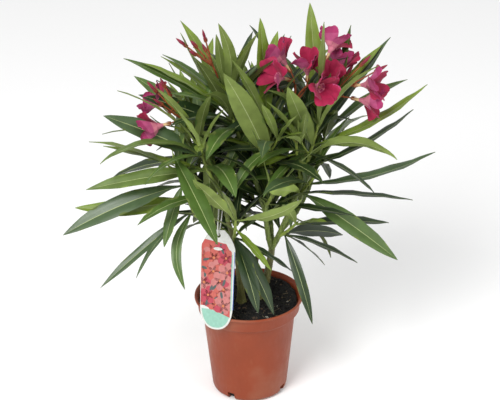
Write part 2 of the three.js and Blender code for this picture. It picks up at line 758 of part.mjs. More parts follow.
// A shoot's stem, side twigs and blooms, before any leaf is put on it.
function growFrame(shoot, seed) {
  let stem = toSolid(stemGeometry(shoot, SHOOT_SIDES, SHOOT.foot, SHOOT.tip));
  for (const name of shoot.off) {
    stem = stem.subtract(swollenNeighbour(name));
  }
  const parts = [largestBody(stem)];
  const twigs = sideTwigs(shoot, shootCurve(shoot), seed).filter((twig) => {
    const bar = toSolid(stemGeometry(twig, TWIG_SIDES, SIDE.foot, SIDE.tip, CLEAR));
    return isClear(bar, (owner) => owner !== shoot.name);
  });
  for (const twig of twigs) {
    parts.push(toSolid(stemGeometry(twig, TWIG_SIDES, SIDE.foot, SIDE.tip)));
  }
  if (shoot.truss) {
    parts.push(...trussGeometries(shoot).map(toSolid));
  }
  parts.forEach((part) => keep(shoot.name, part));
  return { parts, twigs };
}

// Puts one leaf on, turned aside if it has to be, or leaves it out. Its root may run into its own
// shoot, and its blade only if it is a set leaf that has no other way to lie.
function growLeaf(shoot, parts, leaf) {
  const attempts = triesFor(leaf).filter((attempt) => {
    const swollen = toSolid(leafGeometry(attempt, CLEAR * 1.2));
    return isClear(swollen, (owner) => owner !== shoot.name);
  });
  const free = attempts.find((attempt) => {
    const blade = toSolid(leafGeometry(attempt, CLEAR, 1));
    return isClear(blade, (owner) => owner === shoot.name);
  });
  const chosen = free ?? (leaf.byRule ? undefined : attempts[0]);
  if (chosen) {
    const solid = toSolid(leafGeometry(chosen));
    parts.push(solid);
    keep(shoot.name, solid);
  }
}

function growShoots() {
  const grown = SHOOTS.map((shoot, seed) => ({ shoot, seed, ...growFrame(shoot, seed) }));
  for (const wantRule of [false, true]) {
    for (const { shoot, seed, parts, twigs } of grown) {
      const stems = [shoot, ...twigs];
      stems.forEach((stem, index) => {
        for (let whorl = 0; whorl < stem.whorls; whorl += 1) {
          const leaves = whorlLeaves(shootCurve(stem), stem, whorl, seed * 7 + index);
          leaves
            .filter((leaf) => Boolean(leaf.byRule) === wantRule)
            .forEach((leaf) => growLeaf(shoot, parts, leaf));
        }
      });
    }
  }
  return new Map(grown.map(({ shoot, parts }) => [shoot.name, largestBody(joinAll(parts))]));
}

// ---------------------------------------------------------------- the model

const FINISHES = {
  pot: { color: 0xa65f45, roughness: 0.55, metalness: 0 },
  soil: { color: 0x1d1713, roughness: 1, metalness: 0 },
  bark: { color: 0x6f7f3a, roughness: 0.7, metalness: 0 },
  leaf: { color: 0x4f7a33, roughness: 0.45, metalness: 0 },
  label: { color: 0xd9574f, roughness: 0.35, metalness: 0 },
  loop: { color: 0xe8ebe6, roughness: 0.4, metalness: 0 },
};

const oleander = new THREE.Group();

function addPart(name, solid, finish) {
  const mesh = new THREE.Mesh(toGeometry(solid), new THREE.MeshStandardMaterial(FINISHES[finish]));
  mesh.name = name;
  oleander.add(mesh);
}

const fixtures = [
  ["pot", buildPot(), "pot"],
  ["soil", buildSoil(), "soil"],
  ["label", buildLabel(), "label"],
  ["label_loop", buildLoop(), "loop"],
];
for (const [name, solid, finish] of fixtures) {
  keep(name, solid);
  addPart(name, solid, finish);
}
for (const [name, solid] of growLimbs()) {
  addPart(name, solid, "bark");
}
for (const [name, solid] of growShoots()) {
  addPart(name, solid, "leaf");
}

export default oleander;
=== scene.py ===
"""Dresses a flowering oleander in its nursery pot, piece by piece, as a Blender add-on.

Sizes of the plant are in millimetres here, and every mesh is made in metres. +Z is up, and the
origin is the centre of the pot's flat underside. Headings are degrees round +Z from +X, and rises
are degrees above the level.
"""

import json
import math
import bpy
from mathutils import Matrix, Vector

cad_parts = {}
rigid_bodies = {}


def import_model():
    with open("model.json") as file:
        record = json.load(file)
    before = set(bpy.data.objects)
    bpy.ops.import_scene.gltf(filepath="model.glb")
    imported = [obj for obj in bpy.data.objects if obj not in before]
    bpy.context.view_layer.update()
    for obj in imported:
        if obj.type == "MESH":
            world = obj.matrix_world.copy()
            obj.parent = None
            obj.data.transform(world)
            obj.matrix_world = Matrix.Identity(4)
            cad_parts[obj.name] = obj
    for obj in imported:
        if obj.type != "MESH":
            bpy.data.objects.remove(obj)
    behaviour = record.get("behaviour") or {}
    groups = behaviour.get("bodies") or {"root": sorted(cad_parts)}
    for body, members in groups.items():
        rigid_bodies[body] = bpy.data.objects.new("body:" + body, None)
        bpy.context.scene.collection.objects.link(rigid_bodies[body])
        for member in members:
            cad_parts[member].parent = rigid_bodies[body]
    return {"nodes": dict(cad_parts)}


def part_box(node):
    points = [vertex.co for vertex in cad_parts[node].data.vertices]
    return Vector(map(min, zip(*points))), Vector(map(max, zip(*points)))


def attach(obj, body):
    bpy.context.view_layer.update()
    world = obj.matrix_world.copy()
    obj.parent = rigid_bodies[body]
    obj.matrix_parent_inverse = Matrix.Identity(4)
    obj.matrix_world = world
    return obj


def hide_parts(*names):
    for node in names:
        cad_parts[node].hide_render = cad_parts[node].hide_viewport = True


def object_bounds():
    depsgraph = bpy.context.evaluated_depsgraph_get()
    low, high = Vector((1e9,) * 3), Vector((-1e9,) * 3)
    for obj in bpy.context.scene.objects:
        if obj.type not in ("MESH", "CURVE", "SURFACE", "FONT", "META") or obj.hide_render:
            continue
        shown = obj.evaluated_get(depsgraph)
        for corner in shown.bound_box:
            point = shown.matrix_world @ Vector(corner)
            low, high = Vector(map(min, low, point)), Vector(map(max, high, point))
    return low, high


bl_info = {
    "name": "Potted Oleander",
    "version": (1, 0, 0),
    "blender": (4, 5, 0),
    "location": "View3D > Sidebar > Oleander",
    "description": "Builds a flowering oleander in its nursery pot, piece by piece",
    "category": "Add Mesh",
}

import bmesh
import bpy
import numpy as np
from bpy.props import FloatProperty, FloatVectorProperty, IntProperty, PointerProperty
from bpy.types import Operator, Panel, PropertyGroup
from mathutils import Matrix, Vector, bvhtree, kdtree

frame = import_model()
CAD_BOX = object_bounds()
POT_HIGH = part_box("pot")[1]

MM = 0.001

# ---------------------------------------------------------------- the plant's own sizes

# The compost: its levels, its slack in the pot, and its crumbs, with the least and the most of
# each size where there are two.
SOIL_TOP, SOIL_FLOOR, SOIL_FOOT, SOIL_SLACK, SOIL_STEPS = 121.0, 3.4, 43.4, 0.5, 120
HEAP, SOIL_CRUST, SOIL_ROUGH = 9.5, 0.4, 1.1
CRUMB_SIZE, CRUMB_STRETCH = (0.7, 2.6), [(0.8, 1.5), (0.7, 1.1), (0.45, 0.8)]
FIBRE_STRETCH = (3.6, 0.3, 0.3)

# The pot: radii of the foot, of the wall above it and of the wall under the collar, then the
# collar and its four drain notches.
POT_FOOT, POT_SHOULDER, POT_NECK, POT_FLOOR, POT_STEPS = 41.0, 48.8, 59.5, 3.0, 128
COLLAR_FOOT, COLLAR_TOP, COLLAR_HEIGHT, COLLAR_BEVEL, LIP_HEIGHT = 64.0, 66.0, 20.0, 5.0, 4.0
NOTCHES, NOTCH_HEADING, NOTCH_WIDTH, NOTCH_HEIGHT, NOTCH_REACH = 4, -120.0, 10.0, 11.0, 60.0

# The flare at the root, the rings of leaf scars, the swellings of a twig at its whorls, and the
# half widths of green stems and flower stalks.
ROOT_FLARE_EXTRA, ROOT_FLARE_HEIGHT = 3.0, 9.0
RING_HEIGHT, RING_WIDTH, BARK_RING, BARK_SIDES = 0.55, 1.6, 1.1, 28
JOINT_SWELL, JOINT_WIDTH, JOINT_DRAW, TWIG_RING, TWIG_SIDES = 0.5, 2.2, 0.9, 2.2, 14
SHOOT_FOOT, SHOOT_TIP, SHOOT_BUD, BARE_FOOT = 2.4, 1.5, 9.0, 12.0
STALK_FOOT, STALK_TIP = 1.3, 0.9

# The label, the prints on it, and its string. Its side is the angle that it hangs askew.
LABEL_FOOT, LABEL_HEADING, LABEL_LEAN, LABEL_SIDE = (-42.0, -64.0, 120.0), -112.0, 17.0, 4.0
LABEL_THICKNESS, LABEL_HOLE, LABEL_HOLE_DROP, LABEL_CORNER = 0.9, 3.0, 7.0, 24
BAND_INSET, BAND_HIGH, PRINT, PICTURE = 2.2, 30, 0.05, 0.08
SLOT_ACROSS, SLOT_UP, SLOT_DROP, SLOT_PROUD = 6, 2, 24, 0.3
MOTIF_ROWS, MOTIF_COLUMNS, MOTIF_SIZE = 8, 3, (9, 14)
LOOP_GRIP, LOOP_STAND, LOOP_BOUGH, LOOP_AT, STRING_RADIUS = 4.6, 2.6, "bough_left", 0.53, 0.8

# The stage, in metres, degrees and millimetres of lens.
FLOOR_HALF, LAMP_TARGET = 6, (0, 0, 0.3)
KEY_LAMP, FILL_LAMP = ((-0.9, -1.5, 1.9), 1.2), ((1.4, -1.0, 1.0), 1.4)
CAMERA_TARGET, CAMERA_DISTANCE, CAMERA_RISE, CAMERA_ROLL = (0.0027, 0, 0.2689), 2.0, 26.3, -0.57
CAMERA_LENS, CAMERA_SENSOR = 115.2, 36

# How the leaves are held: the rise above the level, and how far a leaf curls down to its tip.
POSE = {
    "upright": (80, 5), "steep": (70, 10), "leaning": (60, 10), "slanting": (50, 0),
    "rising": (35, 20), "flared": (30, -30), "climbing": (25, 10), "lifted": (15, 0),
    "swept": (15, -30), "level": (-5, 10), "arched": (5, 80), "bowed": (65, 140),
    "dipping": (-20, 20), "sloping": (-35, 10), "falling": (-45, 20), "hanging": (-55, 20),
}


def rooted(x, y, knee, tip, radii):
    """A stem that rises from the compost, past its knee to its tip."""
    return {"foot": (x, y, SOIL_TOP), "knee": knee, "tip": tip, "radii": radii, "rooted": True}


def bough(parent, at, knee, tip, radii):
    """A limb whose foot is a share of the way along its parent."""
    return {"parent": parent, "at": at, "knee": knee, "tip": tip, "radii": radii, "rooted": False}


LIMBS = {
    "stem_main": rooted(15, 15, (25, 15, 150), (30, 10, 195), (5.2, 4.1)),
    "stem_left": rooted(-10, 5, (-10, -10, 190), (-25, -20, 250), (4.4, 3.0)),
    "cut_stub": rooted(5, 35, (5, 35, 145), (10, 30, 170), (4.2, 3.6)),
    "bough_right": bough("stem_main", 1, (50, 0, 240), (70, 0, 305), (3.7, 2.8)),
    "bough_centre": bough("stem_main", 0.97, (15, 0, 255), (30, -10, 310), (3.3, 2.6)),
    "bough_back": bough("stem_main", 0.98, (30, 40, 235), (20, 60, 290), (3.2, 2.5)),
    "bough_back_right": bough("bough_right", 0.3, (70, 30, 240), (85, 55, 280), (2.9, 2.4)),
    "bough_top_left": bough("bough_centre", 0.45, (5, 10, 310), (-10, 10, 350), (2.8, 2.3)),
    "bough_left": bough("stem_left", 1, (-30, -20, 290), (-45, -20, 310), (2.9, 2.4)),
    "bough_left_low": bough("stem_left", 0.85, (-40, -10, 235), (-65, -15, 255), (2.6, 2.2)),
    "bough_back_left": bough("stem_left", 0.7, (-30, 20, 240), (-50, 50, 285), (2.8, 2.3)),
}


def blade(heading, rise, length, bend, roll, tone, width, arc=0.0, dip=0.0, **more):
    """One leaf: the way it points, its length, how it bends and rolls, its tone and its width."""
    return {
        "heading": heading, "rise": rise, "length": length, "bend": bend, "roll": roll,
        "tone": tone, "width": width, "arc": arc, "dip": dip, **more,
    }


def leaf_set(whorl, heading, pose, length, roll=0.0, tone="mid", width=1.0, arc=0.0, dip=0.0):
    """A leaf that takes the place of the rule's nearest leaf in its whorl.

    Its blade swings sideways by its arc and hangs by its dip, both at mid length.
    """
    rise, bend = POSE[pose]
    return blade(
        heading, rise, length, bend, roll, tone, width, arc=arc, dip=dip, whorl=whorl, by_rule=False
    )


def gap(whorl, heading):
    """Leaves out the rule's leaf nearest to a heading."""
    return {"whorl": whorl, "heading": heading, "length": 0}


def flower(stalk, faces, opening=0.6):
    """A flower: its stalk's heading, rise and reach, the way it faces, and how far it is open."""
    return {"stalk": stalk, "faces": faces, "opening": opening}


def bud(heading, rise, reach, size=1.0):
    """A bud in line with its stalk, and its size beside a full one."""
    return {"stalk": (heading, rise, reach), "faces": (heading, rise), "opening": size}


def shoot(name, parent, at, tip, sag, whorls, leaf, turn, sides, leaves=(), truss=None, flowers=(),
          buds=(), crest=1.0):
    """One mass of foliage.

    Its green stem leaves a share of the way along its parent and sags at mid length. It has a
    number of whorls with leaves of one length, the lowest turned so far round, and a number of
    side twigs. Its truss is the heading, rise and reach of the hub that the blooms stand round,
    and its crest is the length of the topmost leaves beside the rule's.
    """
    return {
        "name": name, "parent": parent, "at": at, "tip": tip, "sag": sag, "whorls": whorls,
        "leaf": leaf, "turn": turn, "sides": sides, "leaves": list(leaves), "truss": truss,
        "flowers": list(flowers), "buds": list(buds), "crest": crest,
    }


SHOOTS = [
    shoot("right_top", "bough_right", 1, (90, 5, 380), 4, 6, 130, 40, 1, [
        leaf_set(0, 0, "flared", 150, 0, "deep", 0.9),
        leaf_set(1, -20, "arched", 120, -60, "olive", 1.2),
        leaf_set(1, 120, "level", 100, 0, "deep", 0.8),
        leaf_set(2, 0, "flared", 160, 10, "bright", 0.8),
        leaf_set(2, -110, "slanting", 150, 20, "bright"),
        leaf_set(3, 20, "slanting", 150, 0, "blue"),
        leaf_set(4, 30, "steep", 130, 0, "mid", dip=10),
        leaf_set(4, 100, "steep", 150, 0, "bright"),
        leaf_set(4, 20, "bowed", 120, 0, "deep", 0.9),
        leaf_set(5, -90, "steep", 150, 60, "bright", 0.8),
        leaf_set(5, 160, "slanting", 140, 0, "deep"), gap(0, -90),
    ], (0, 65, 30), [
        flower((150, 80, 45), (50, 50), 0.5), flower((-90, 40, 10), (-120, 70), 0.25),
        flower((60, 40, 20), (50, 65), 0.3), flower((0, 25, 30), (-20, 10), 0.45),
        flower((-10, -5, 25), (-10, -10), 0.45),
    ], [bud(10, 45, 50), bud(0, 30, 60), bud(40, 40, 30)]),
    shoot("right_inner", "bough_right", 0.9, (60, -5, 350), 6, 4, 115, 95, 0, [
        leaf_set(0, -140, "lifted", 90, 0, "mid", 1.2),
        leaf_set(2, -150, "level", 90, 0, "bright"),
        gap(1, -90),
    ], (180, 85, 50), [
        flower((-120, 80, 35), (-150, 20), 0.65), flower((100, 70, 40), (150, 50), 0.4),
        flower((0, 60, 35), (-100, 80), 0.2), flower((-30, 50, 40), (-60, 10), 0.3),
    ], [bud(160, 50, 25)]),
    shoot("centre", "bough_centre", 1, (25, -5, 375), 0, 4, 130, 75, 1, [
        leaf_set(0, -130, "leaning", 170, 50, "olive", 1.15),
        leaf_set(1, 180, "lifted", 130, 0, "bright", 0.8),
        leaf_set(2, 180, "slanting", 140, 0, "bright", 0.7),
        leaf_set(3, 110, "upright", 130, 20, "bright", 1.2),
    ]),
    shoot("top_left", "bough_top_left", 1, (-25, 15, 400), 0, 5, 120, 10, 0, [
        leaf_set(0, -170, "climbing", 130, -40, "deep", 1.15),
        leaf_set(1, -170, "rising", 160, -20, "mid", 0.85),
        leaf_set(1, -140, "leaning", 110, 20, "blue", 1.3),
        leaf_set(2, -170, "rising", 130, -10, "bright", 0.85),
        leaf_set(2, 160, "rising", 110, 0, "bright", 0.75),
        leaf_set(3, 180, "leaning", 110, 0, "bright", dip=8),
        leaf_set(4, -100, "steep", 120, 20, "bright", 0.85, 10),
        leaf_set(4, -130, "upright", 90, 40, "mid", 0.9), gap(3, 90), gap(4, 90),
    ], (180, 70, 45), [], [
        bud(180, 40, 40), bud(-150, 40, 30, 0.65), bud(170, 50, 30, 0.7), bud(-150, 75, 35),
        bud(130, 50, 20, 0.65),
    ]),
    shoot("left_mid", "bough_left", 1, (-65, -10, 370), 5, 4, 125, 60, 1, [
        leaf_set(0, -170, "level", 150, -30, "olive"),
        leaf_set(0, -70, "arched", 110, 0, "mid", 1.6),
        leaf_set(0, 180, "lifted", 130, 0, "bright", 0.9),
        leaf_set(1, -160, "arched", 140, 0, "olive", 0.8),
        leaf_set(1, 180, "climbing", 130, -40, "blue", 1.4), gap(2, 90),
    ], (170, 45, 20), [
        flower((170, 30, 15), (150, 30), 0.5), flower((-170, -20, 15), (-170, -10), 0.35),
    ], [
        bud(180, 50, 45), bud(180, 65, 45, 0.8), bud(150, 60, 30, 0.7), bud(-170, 40, 30, 0.85),
    ]),
    shoot("left_low", "bough_left_low", 1, (-90, -20, 340), 14, 5, 125, 20, 0, [
        leaf_set(0, -160, "sloping", 150, -30, "blue", 0.6),
        leaf_set(0, -100, "hanging", 100, 0, "mid", 0.9, -15),
        leaf_set(0, -140, "sloping", 110, 0, "blue", 0.6, -10),
        leaf_set(1, 180, "level", 140, -40, "bright", 1.1, dip=10),
        leaf_set(2, -170, "dipping", 160, -40, "blue", 1.1),
        leaf_set(2, -120, "hanging", 80, 0, "mid", 1.4),
        leaf_set(4, -60, "sloping", 130, 0, "mid", 1.3),
    ]),
    shoot("front_low", "stem_left", 0.75, (-15, -35, 260), 6, 3, 100, 0, 0, [
        leaf_set(0, -40, "hanging", 110, 0, "deep", 1.4),
        leaf_set(0, -60, "hanging", 100, 0, "deep", 1.5),
        leaf_set(0, 0, "sloping", 90, 0, "deep", 1.2),
        leaf_set(1, -40, "sloping", 70, 0, "bright", 1.15),
        leaf_set(2, -40, "flared", 120, -60, "olive", 0.9),
        leaf_set(2, -150, "slanting", 90, 50, "young", 1.4),
    ]),
    shoot("right_low", "bough_right", 0.2, (60, -10, 240), 4, 2, 110, 30, 0, [
        leaf_set(0, -10, "dipping", 100, 0, "deep", 0.9),
        leaf_set(0, -60, "hanging", 120, 40, "deep", 0.8),
        leaf_set(0, 20, "falling", 80, 0, "deep", 1.25),
        leaf_set(1, 10, "level", 120, 10, "deep", 1.1),
        leaf_set(0, 40, "dipping", 110, 30, "deep", 1.35),
    ]),
    shoot("right_mid", "bough_right", 0.75, (85, -20, 315), 6, 3, 125, 45, 0, [
        leaf_set(0, -10, "sloping", 150, 40, "mid", 1.15),
        leaf_set(0, 0, "level", 140, 0, "deep", 0.7),
        leaf_set(0, -120, "climbing", 90, 70, "pale", 1.45),
        leaf_set(1, 0, "swept", 160, 0, "blue", 0.95),
    ]),
    shoot("front_centre", "bough_centre", 0.6, (30, -45, 300), 8, 3, 105, 25, 0, [
        leaf_set(0, -10, "level", 110, 0, "deep"), leaf_set(1, 160, "lifted", 100, 0, "deep"),
        gap(0, -90), gap(1, -90), gap(2, -90),
    ]),
    shoot("left_back", "bough_left", 0.25, (-60, 20, 305), 8, 3, 118, 85, 0),
    shoot("back_top", "bough_back", 1, (15, 70, 380), 0, 5, 135, 15, 1, crest=0.6),
    shoot("back_low", "bough_back", 0.35, (25, 75, 260), 8, 2, 125, 50, 0),
    shoot("back_right", "bough_back_right", 1, (105, 70, 350), 4, 4, 130, 0, 1, [
        gap(0, 0), gap(1, 0),
    ], crest=0.7),
    shoot("back_left", "bough_back_left", 1, (-70, 75, 350), 4, 4, 130, 35, 1, crest=0.55),
]

# How far a leaf may be turned aside and lifted where it would touch something, in order.
RULE_TRIES = [
    (0, 0), (14, 6), (-14, 6), (28, -8), (-28, -8), (8, 18), (-8, -18), (40, 10), (-40, 10),
]
SET_TRIES = [
    (0, 0), (3, 2), (-3, -2), (5, -4), (-5, 4), (8, 3), (-8, -3), (0, 8), (0, -8), (14, 0),
    (-14, 0), (20, -6), (-20, -6), (28, 4), (-28, 4),
]

# ---------------------------------------------------------------- settings


def colour(name, description, value):
    """A base colour setting."""
    return FloatVectorProperty(
        name=name, description=description, default=value, subtype="COLOR", min=0, max=1
    )


def length(name, description, value):
    """A length setting, in metres."""
    return FloatProperty(name=name, description=description, default=value, unit="LENGTH", min=0)


class OleanderPotSettings(PropertyGroup):
    """Sizes and colours of the pot and the compost."""

    rim_radius: length("Rim radius", "Radius of the rolled rim", POT_HIGH.x)
    height: length("Height", "Height of the pot", POT_HIGH.z)
    wall: length("Wall", "Thickness of the moulded wall", 0.0018)
    plastic: colour("Plastic", "Colour of the moulded plastic", (0.235, 0.042, 0.013))
    plastic_pale: colour("Scuffed plastic", "Colour of the rubbed plastic", (0.26, 0.082, 0.042))
    compost: colour("Compost", "Colour of the moist compost", (0.006, 0.0055, 0.0048))
    crumbs: IntProperty(name="Crumbs", description="Loose crumbs on the compost", default=1500)


class OleanderBarkSettings(PropertyGroup):
    """Relief and colours of the stems, boughs and green shoots."""

    joint_gap: length("Joint gap", "Distance between leaf scars along a stem", 0.017)
    relief: length("Relief", "Height of the ridges in the bark", 0.00022)
    stem: colour("Stem bark", "Colour of the oldest bark", (0.115, 0.118, 0.032))
    young: colour("Young bark", "Colour of the green bark of the boughs", (0.12, 0.165, 0.028))
    twig: colour("Green twig", "Colour of the leafy shoots", (0.19, 0.25, 0.038))


class OleanderLeafSettings(PropertyGroup):
    """Shape and colours of the leaves."""

    thickness: length("Thickness", "Thickness of the blade beside its midrib", 0.00045)
    fold: FloatProperty(name="Fold", description="Rise of the blade's halves", default=0.34)
    wave: length("Wave", "Depth of the waves in the margin", 0.0008)
    # Deep and blue green are a shaded and a lit copy of one old-leaf colour: deep holds painted
    # shade for leaves low and inside the crown, and blue green is the same leaves as the light
    # shows them.
    deep: colour("Deep", "Upper face of old, shaded leaves", (0.018, 0.038, 0.01))
    blue: colour("Blue green", "Upper face of old leaves in the light", (0.052, 0.09, 0.034))
    mid: colour("Mid", "Upper face of grown leaves", (0.062, 0.115, 0.02))
    olive: colour("Olive", "Upper face of dull leaves", (0.105, 0.16, 0.035))
    bright: colour("Bright", "Upper face of fresh leaves", (0.15, 0.22, 0.024))
    young: colour("Young", "Upper face of the youngest leaves", (0.24, 0.31, 0.045))
    under: colour("Underside", "Lower face of the leaves", (0.17, 0.225, 0.055))
    rib: colour("Midrib", "The pale midrib", (0.34, 0.39, 0.17))


class OleanderBlossomSettings(PropertyGroup):
    """Sizes and colours of the flowers and buds."""

    mouth: length("Mouth", "Reach of an open petal from the flower's axis", 0.024)
    bud_length: length("Bud length", "Length of a full bud", 0.019)
    petal: colour("Petal face", "Inner face of a petal", (0.3, 0.01, 0.05))
    petal_back: colour("Petal back", "Outer face of a petal", (0.36, 0.036, 0.13))
    flush: colour("Flush", "Outer face of a petal above its base", (0.42, 0.075, 0.185))
    throat: colour("Throat", "Pale base of the petals", (0.52, 0.16, 0.22))
    tube: colour("Tube", "Foot of the flower's tube", (0.62, 0.42, 0.22))
    bud: colour("Bud", "Colour of the rolled bud", (0.2, 0.016, 0.036))
    stalk: colour("Stalk", "Colour of the flower stalks", (0.26, 0.065, 0.02))


class OleanderLabelSettings(PropertyGroup):
    """Sizes and colours of the hanging label."""

    width: length("Width", "Width of the label", 0.046)
    height: length("Height", "Height of the label", 0.127)
    card: colour("Card", "The label's white card", (0.56, 0.57, 0.54))
    picture: colour("Picture", "Ground of the printed field", (0.43, 0.07, 0.06))
    band: colour("Band", "Printed band round the foot", (0.23, 0.44, 0.35))
    edge: colour("Edge", "Thin line at the label's right edge", (0.05, 0.13, 0.4))
    string: colour("String", "The white string", (0.6, 0.61, 0.56))


class OleanderStageSettings(PropertyGroup):
    """The floor, the lights and the camera."""

    floor: colour("Floor", "Colour of the floor", (0.96, 0.96, 0.96))
    sky: FloatProperty(name="Sky", description="Strength of the surrounding light", default=0.75)
    key: FloatProperty(name="Key", description="Power of the key light", default=48, unit="POWER")
    fill: FloatProperty(name="Fill", description="Power of the fill light", default=8, unit="POWER")


# ---------------------------------------------------------------- numbers and directions


HASH_START, HASH_STEP, HASH_STIR, HASH_MOST = 2166136261, 16777619, 2246822519, 0xFFFFFFFF


def chance(*keys):
    """A repeatable number from 0 to 1 for a list of small whole numbers.

    The last of them tells apart the things that are chosen in one place.
    """
    code = HASH_START
    for key in keys:
        code = ((code ^ key) * HASH_STEP) & HASH_MOST
        code ^= code >> 13
    code = (code * HASH_STIR) & HASH_MOST
    code ^= code >> 15
    return code / (HASH_MOST + 1)


def sway(amount, *keys):
    """A repeatable number from half this amount below zero to half of it above."""
    return amount * (chance(*keys) - 0.5)


def mix(low, high, share):
    """A share of the way from one value to another."""
    return low + (high - low) * share


def direction(heading, rise):
    """The unit vector along a heading and rise."""
    level = math.cos(math.radians(rise))
    turn = math.radians(heading)
    return Vector((level * math.cos(turn), level * math.sin(turn), math.sin(math.radians(rise))))


def round_z(turn, radius, level):
    """The point at a turn in radians round +Z, at a radius and a level."""
    return Vector((math.cos(turn), math.sin(turn), 0)) * radius + Vector((0, 0, level))


def heading_and_rise(vector):
    """The heading and rise of a vector."""
    unit = vector.normalized()
    return math.degrees(math.atan2(unit.y, unit.x)), math.degrees(math.asin(unit.z))


def apart(first, second):
    """The difference between two headings, from 0 to 180 degrees."""
    turn = abs(first - second) % 360
    return min(turn, 360 - turn)


class Curve:
    """A quadratic curve from a foot past a knee to a tip."""

    def __init__(self, foot, knee, tip):
        self.foot, self.knee, self.tip = Vector(foot), Vector(knee), Vector(tip)

    def at(self, share):
        rest = 1 - share
        return self.foot * rest**2 + self.knee * (2 * rest * share) + self.tip * share**2

    def tangent(self, share):
        return ((self.knee - self.foot) * (1 - share) + (self.tip - self.knee) * share).normalized()

    def length(self, steps=200):
        points = [self.at(k / steps) for k in range(steps + 1)]
        return sum((b - a).length for a, b in zip(points, points[1:]))


def limb_curve(name):
    """A limb's curve. A bough's foot lies on its parent."""
    limb = LIMBS[name]
    foot = limb["foot"] if limb["rooted"] else limb_curve(limb["parent"]).at(limb["at"])
    return Curve(foot, limb["knee"], limb["tip"])


for mass in SHOOTS:
    mass["foot"] = tuple(limb_curve(mass["parent"]).at(mass["at"]))


def out_from(point, heading, rise, reach):
    """The point that lies a reach away along a heading and rise."""
    return Vector(point) + direction(heading, rise) * reach


# ---------------------------------------------------------------- joined meshes from arrays


SHARP = 50.0


class Bundle:
    """Many small shapes gathered into one mesh, each face with its finish."""

    def __init__(self, name, finishes):
        self.name = name
        self.finishes = finishes
        self.points, self.faces, self.slots = [], [], []
        self.count = 0

    def add(self, points, faces, slots=0):
        """Adds a shape in millimetres, with one finish or a list of them by face."""
        points = np.asarray(points, float)
        self.points.append(points)
        self.faces.extend([tuple(i + self.count for i in face) for face in faces])
        self.slots.extend(slots if isinstance(slots, list) else [slots] * len(faces))
        self.count += len(points)

    def piece(self, slot, replaces=(), sharp=SHARP):
        mesh = bpy.data.meshes.new(self.name)
        mesh.from_pydata((np.vstack(self.points) * MM).tolist(), [], self.faces)
        mesh.polygons.foreach_set("material_index", np.array(self.slots, np.int32))
        return add_piece(self.name, mesh, self.finishes, replaces, sharp)


def linked(name, data):
    """A new object in the scene."""
    thing = bpy.data.objects.new(name, data)
    bpy.context.scene.collection.objects.link(thing)
    return thing


def applied_mesh(thing):
    """A copy of an object's mesh as its modifiers or its bevel shape it."""
    bpy.context.view_layer.update()
    graph = bpy.context.evaluated_depsgraph_get()
    mesh = bpy.data.meshes.new_from_object(thing.evaluated_get(graph))
    mesh.materials.clear()
    return mesh


def add_piece(name, mesh, finishes, replaces=(), sharp=SHARP):
    """Links a finished mesh as a piece of the object, riding on its one body."""
    mesh.validate()
    mesh.update()
    mesh.polygons.foreach_set("use_smooth", np.ones(len(mesh.polygons), bool))
    mesh.set_sharp_from_angle(angle=math.radians(sharp))
    for finish in finishes:
        mesh.materials.append(finish)
    piece = linked(name, mesh)
    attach(piece, "root")
    if replaces:
        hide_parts(*replaces)
    return piece


def close(bm, dist=1e-3):
    """Joins the points that meet, and turns every face outward."""
    bmesh.ops.remove_doubles(bm, verts=bm.verts, dist=dist)
    bmesh.ops.recalc_face_normals(bm, faces=bm.faces)


def mesh_of(bm, name):
    """The mesh of a bmesh in millimetres, brought to metres."""
    bmesh.ops.scale(bm, vec=(MM, MM, MM), verts=bm.verts)
    mesh = bpy.data.meshes.new(name)
    bm.to_mesh(mesh)
    bm.free()
    return mesh


def sheet_faces(rows, columns):
    """Faces of a closed blade: an upper and a lower sheet that share their side edges."""
    ring = columns + columns - 2
    upper = list(range(columns))
    lower = [0] + list(range(columns, ring)) + [columns - 1]
    faces, upper_side = [], []
    for row in range(rows - 1):
        here, there = row * ring, (row + 1) * ring
        for k in range(columns - 1):
            left, right = upper[k], upper[k + 1]
            faces.append((here + left, here + right, there + right, there + left))
            upper_side.append((True, row, k))
        for k in range(columns - 1):
            left, right = lower[k], lower[k + 1]
            faces.append((here + right, here + left, there + left, there + right))
            upper_side.append((False, row, k))
    for row, turned in ((0, False), (rows - 1, True)):
        start = row * ring
        for k in range(columns - 1):
            corners = [upper[k], lower[k], lower[k + 1], upper[k + 1]]
            corners = [start + c for n, c in enumerate(corners) if c not in corners[:n]]
            faces.append(tuple(reversed(corners)) if turned else tuple(corners))
            upper_side.append((False, row, k))
    return faces, upper_side


def sheet_points(top, bottom):
    """Points in the order of sheet_faces, from two grids of rows by columns."""
    rows = []
    for above, below in zip(top, bottom):
        rows.append(above)
        rows.append(below[1:-1])
    return np.concatenate(rows)


OPERATOR_SHAPES = {}


def shape_of(key, build):
    """Points and faces of a small shape that mesh operators make, kept for its next use."""
    if key not in OPERATOR_SHAPES:
        bm = bmesh.new()
        build(bm)
        close(bm, 1e-4)
        bm.verts.index_update()
        points = np.array([vert.co[:] for vert in bm.verts])
        faces = [tuple(vert.index for vert in face.verts) for face in bm.faces]
        bm.free()
        OPERATOR_SHAPES[key] = points, faces
    return OPERATOR_SHAPES[key]


def spot_shape():
    """A flat round spot of radius 1."""
    return shape_of("spot", lambda bm: bmesh.ops.create_cone(
        bm, cap_ends=True, segments=12, radius1=1, radius2=1, depth=0.02
    ))


def spin_profile(bm, profile, steps):
    """Spins a line of (radius, height) pairs once round +Z."""
    line = [bm.verts.new((radius, 0, level)) for radius, level in profile]
    edges = [bm.edges.new(pair) for pair in zip(line, line[1:])]
    bmesh.ops.spin(
        bm, geom=line + edges, cent=(0, 0, 0), axis=(0, 0, 1), angle=2 * math.pi, steps=steps,
        use_merge=True,
    )


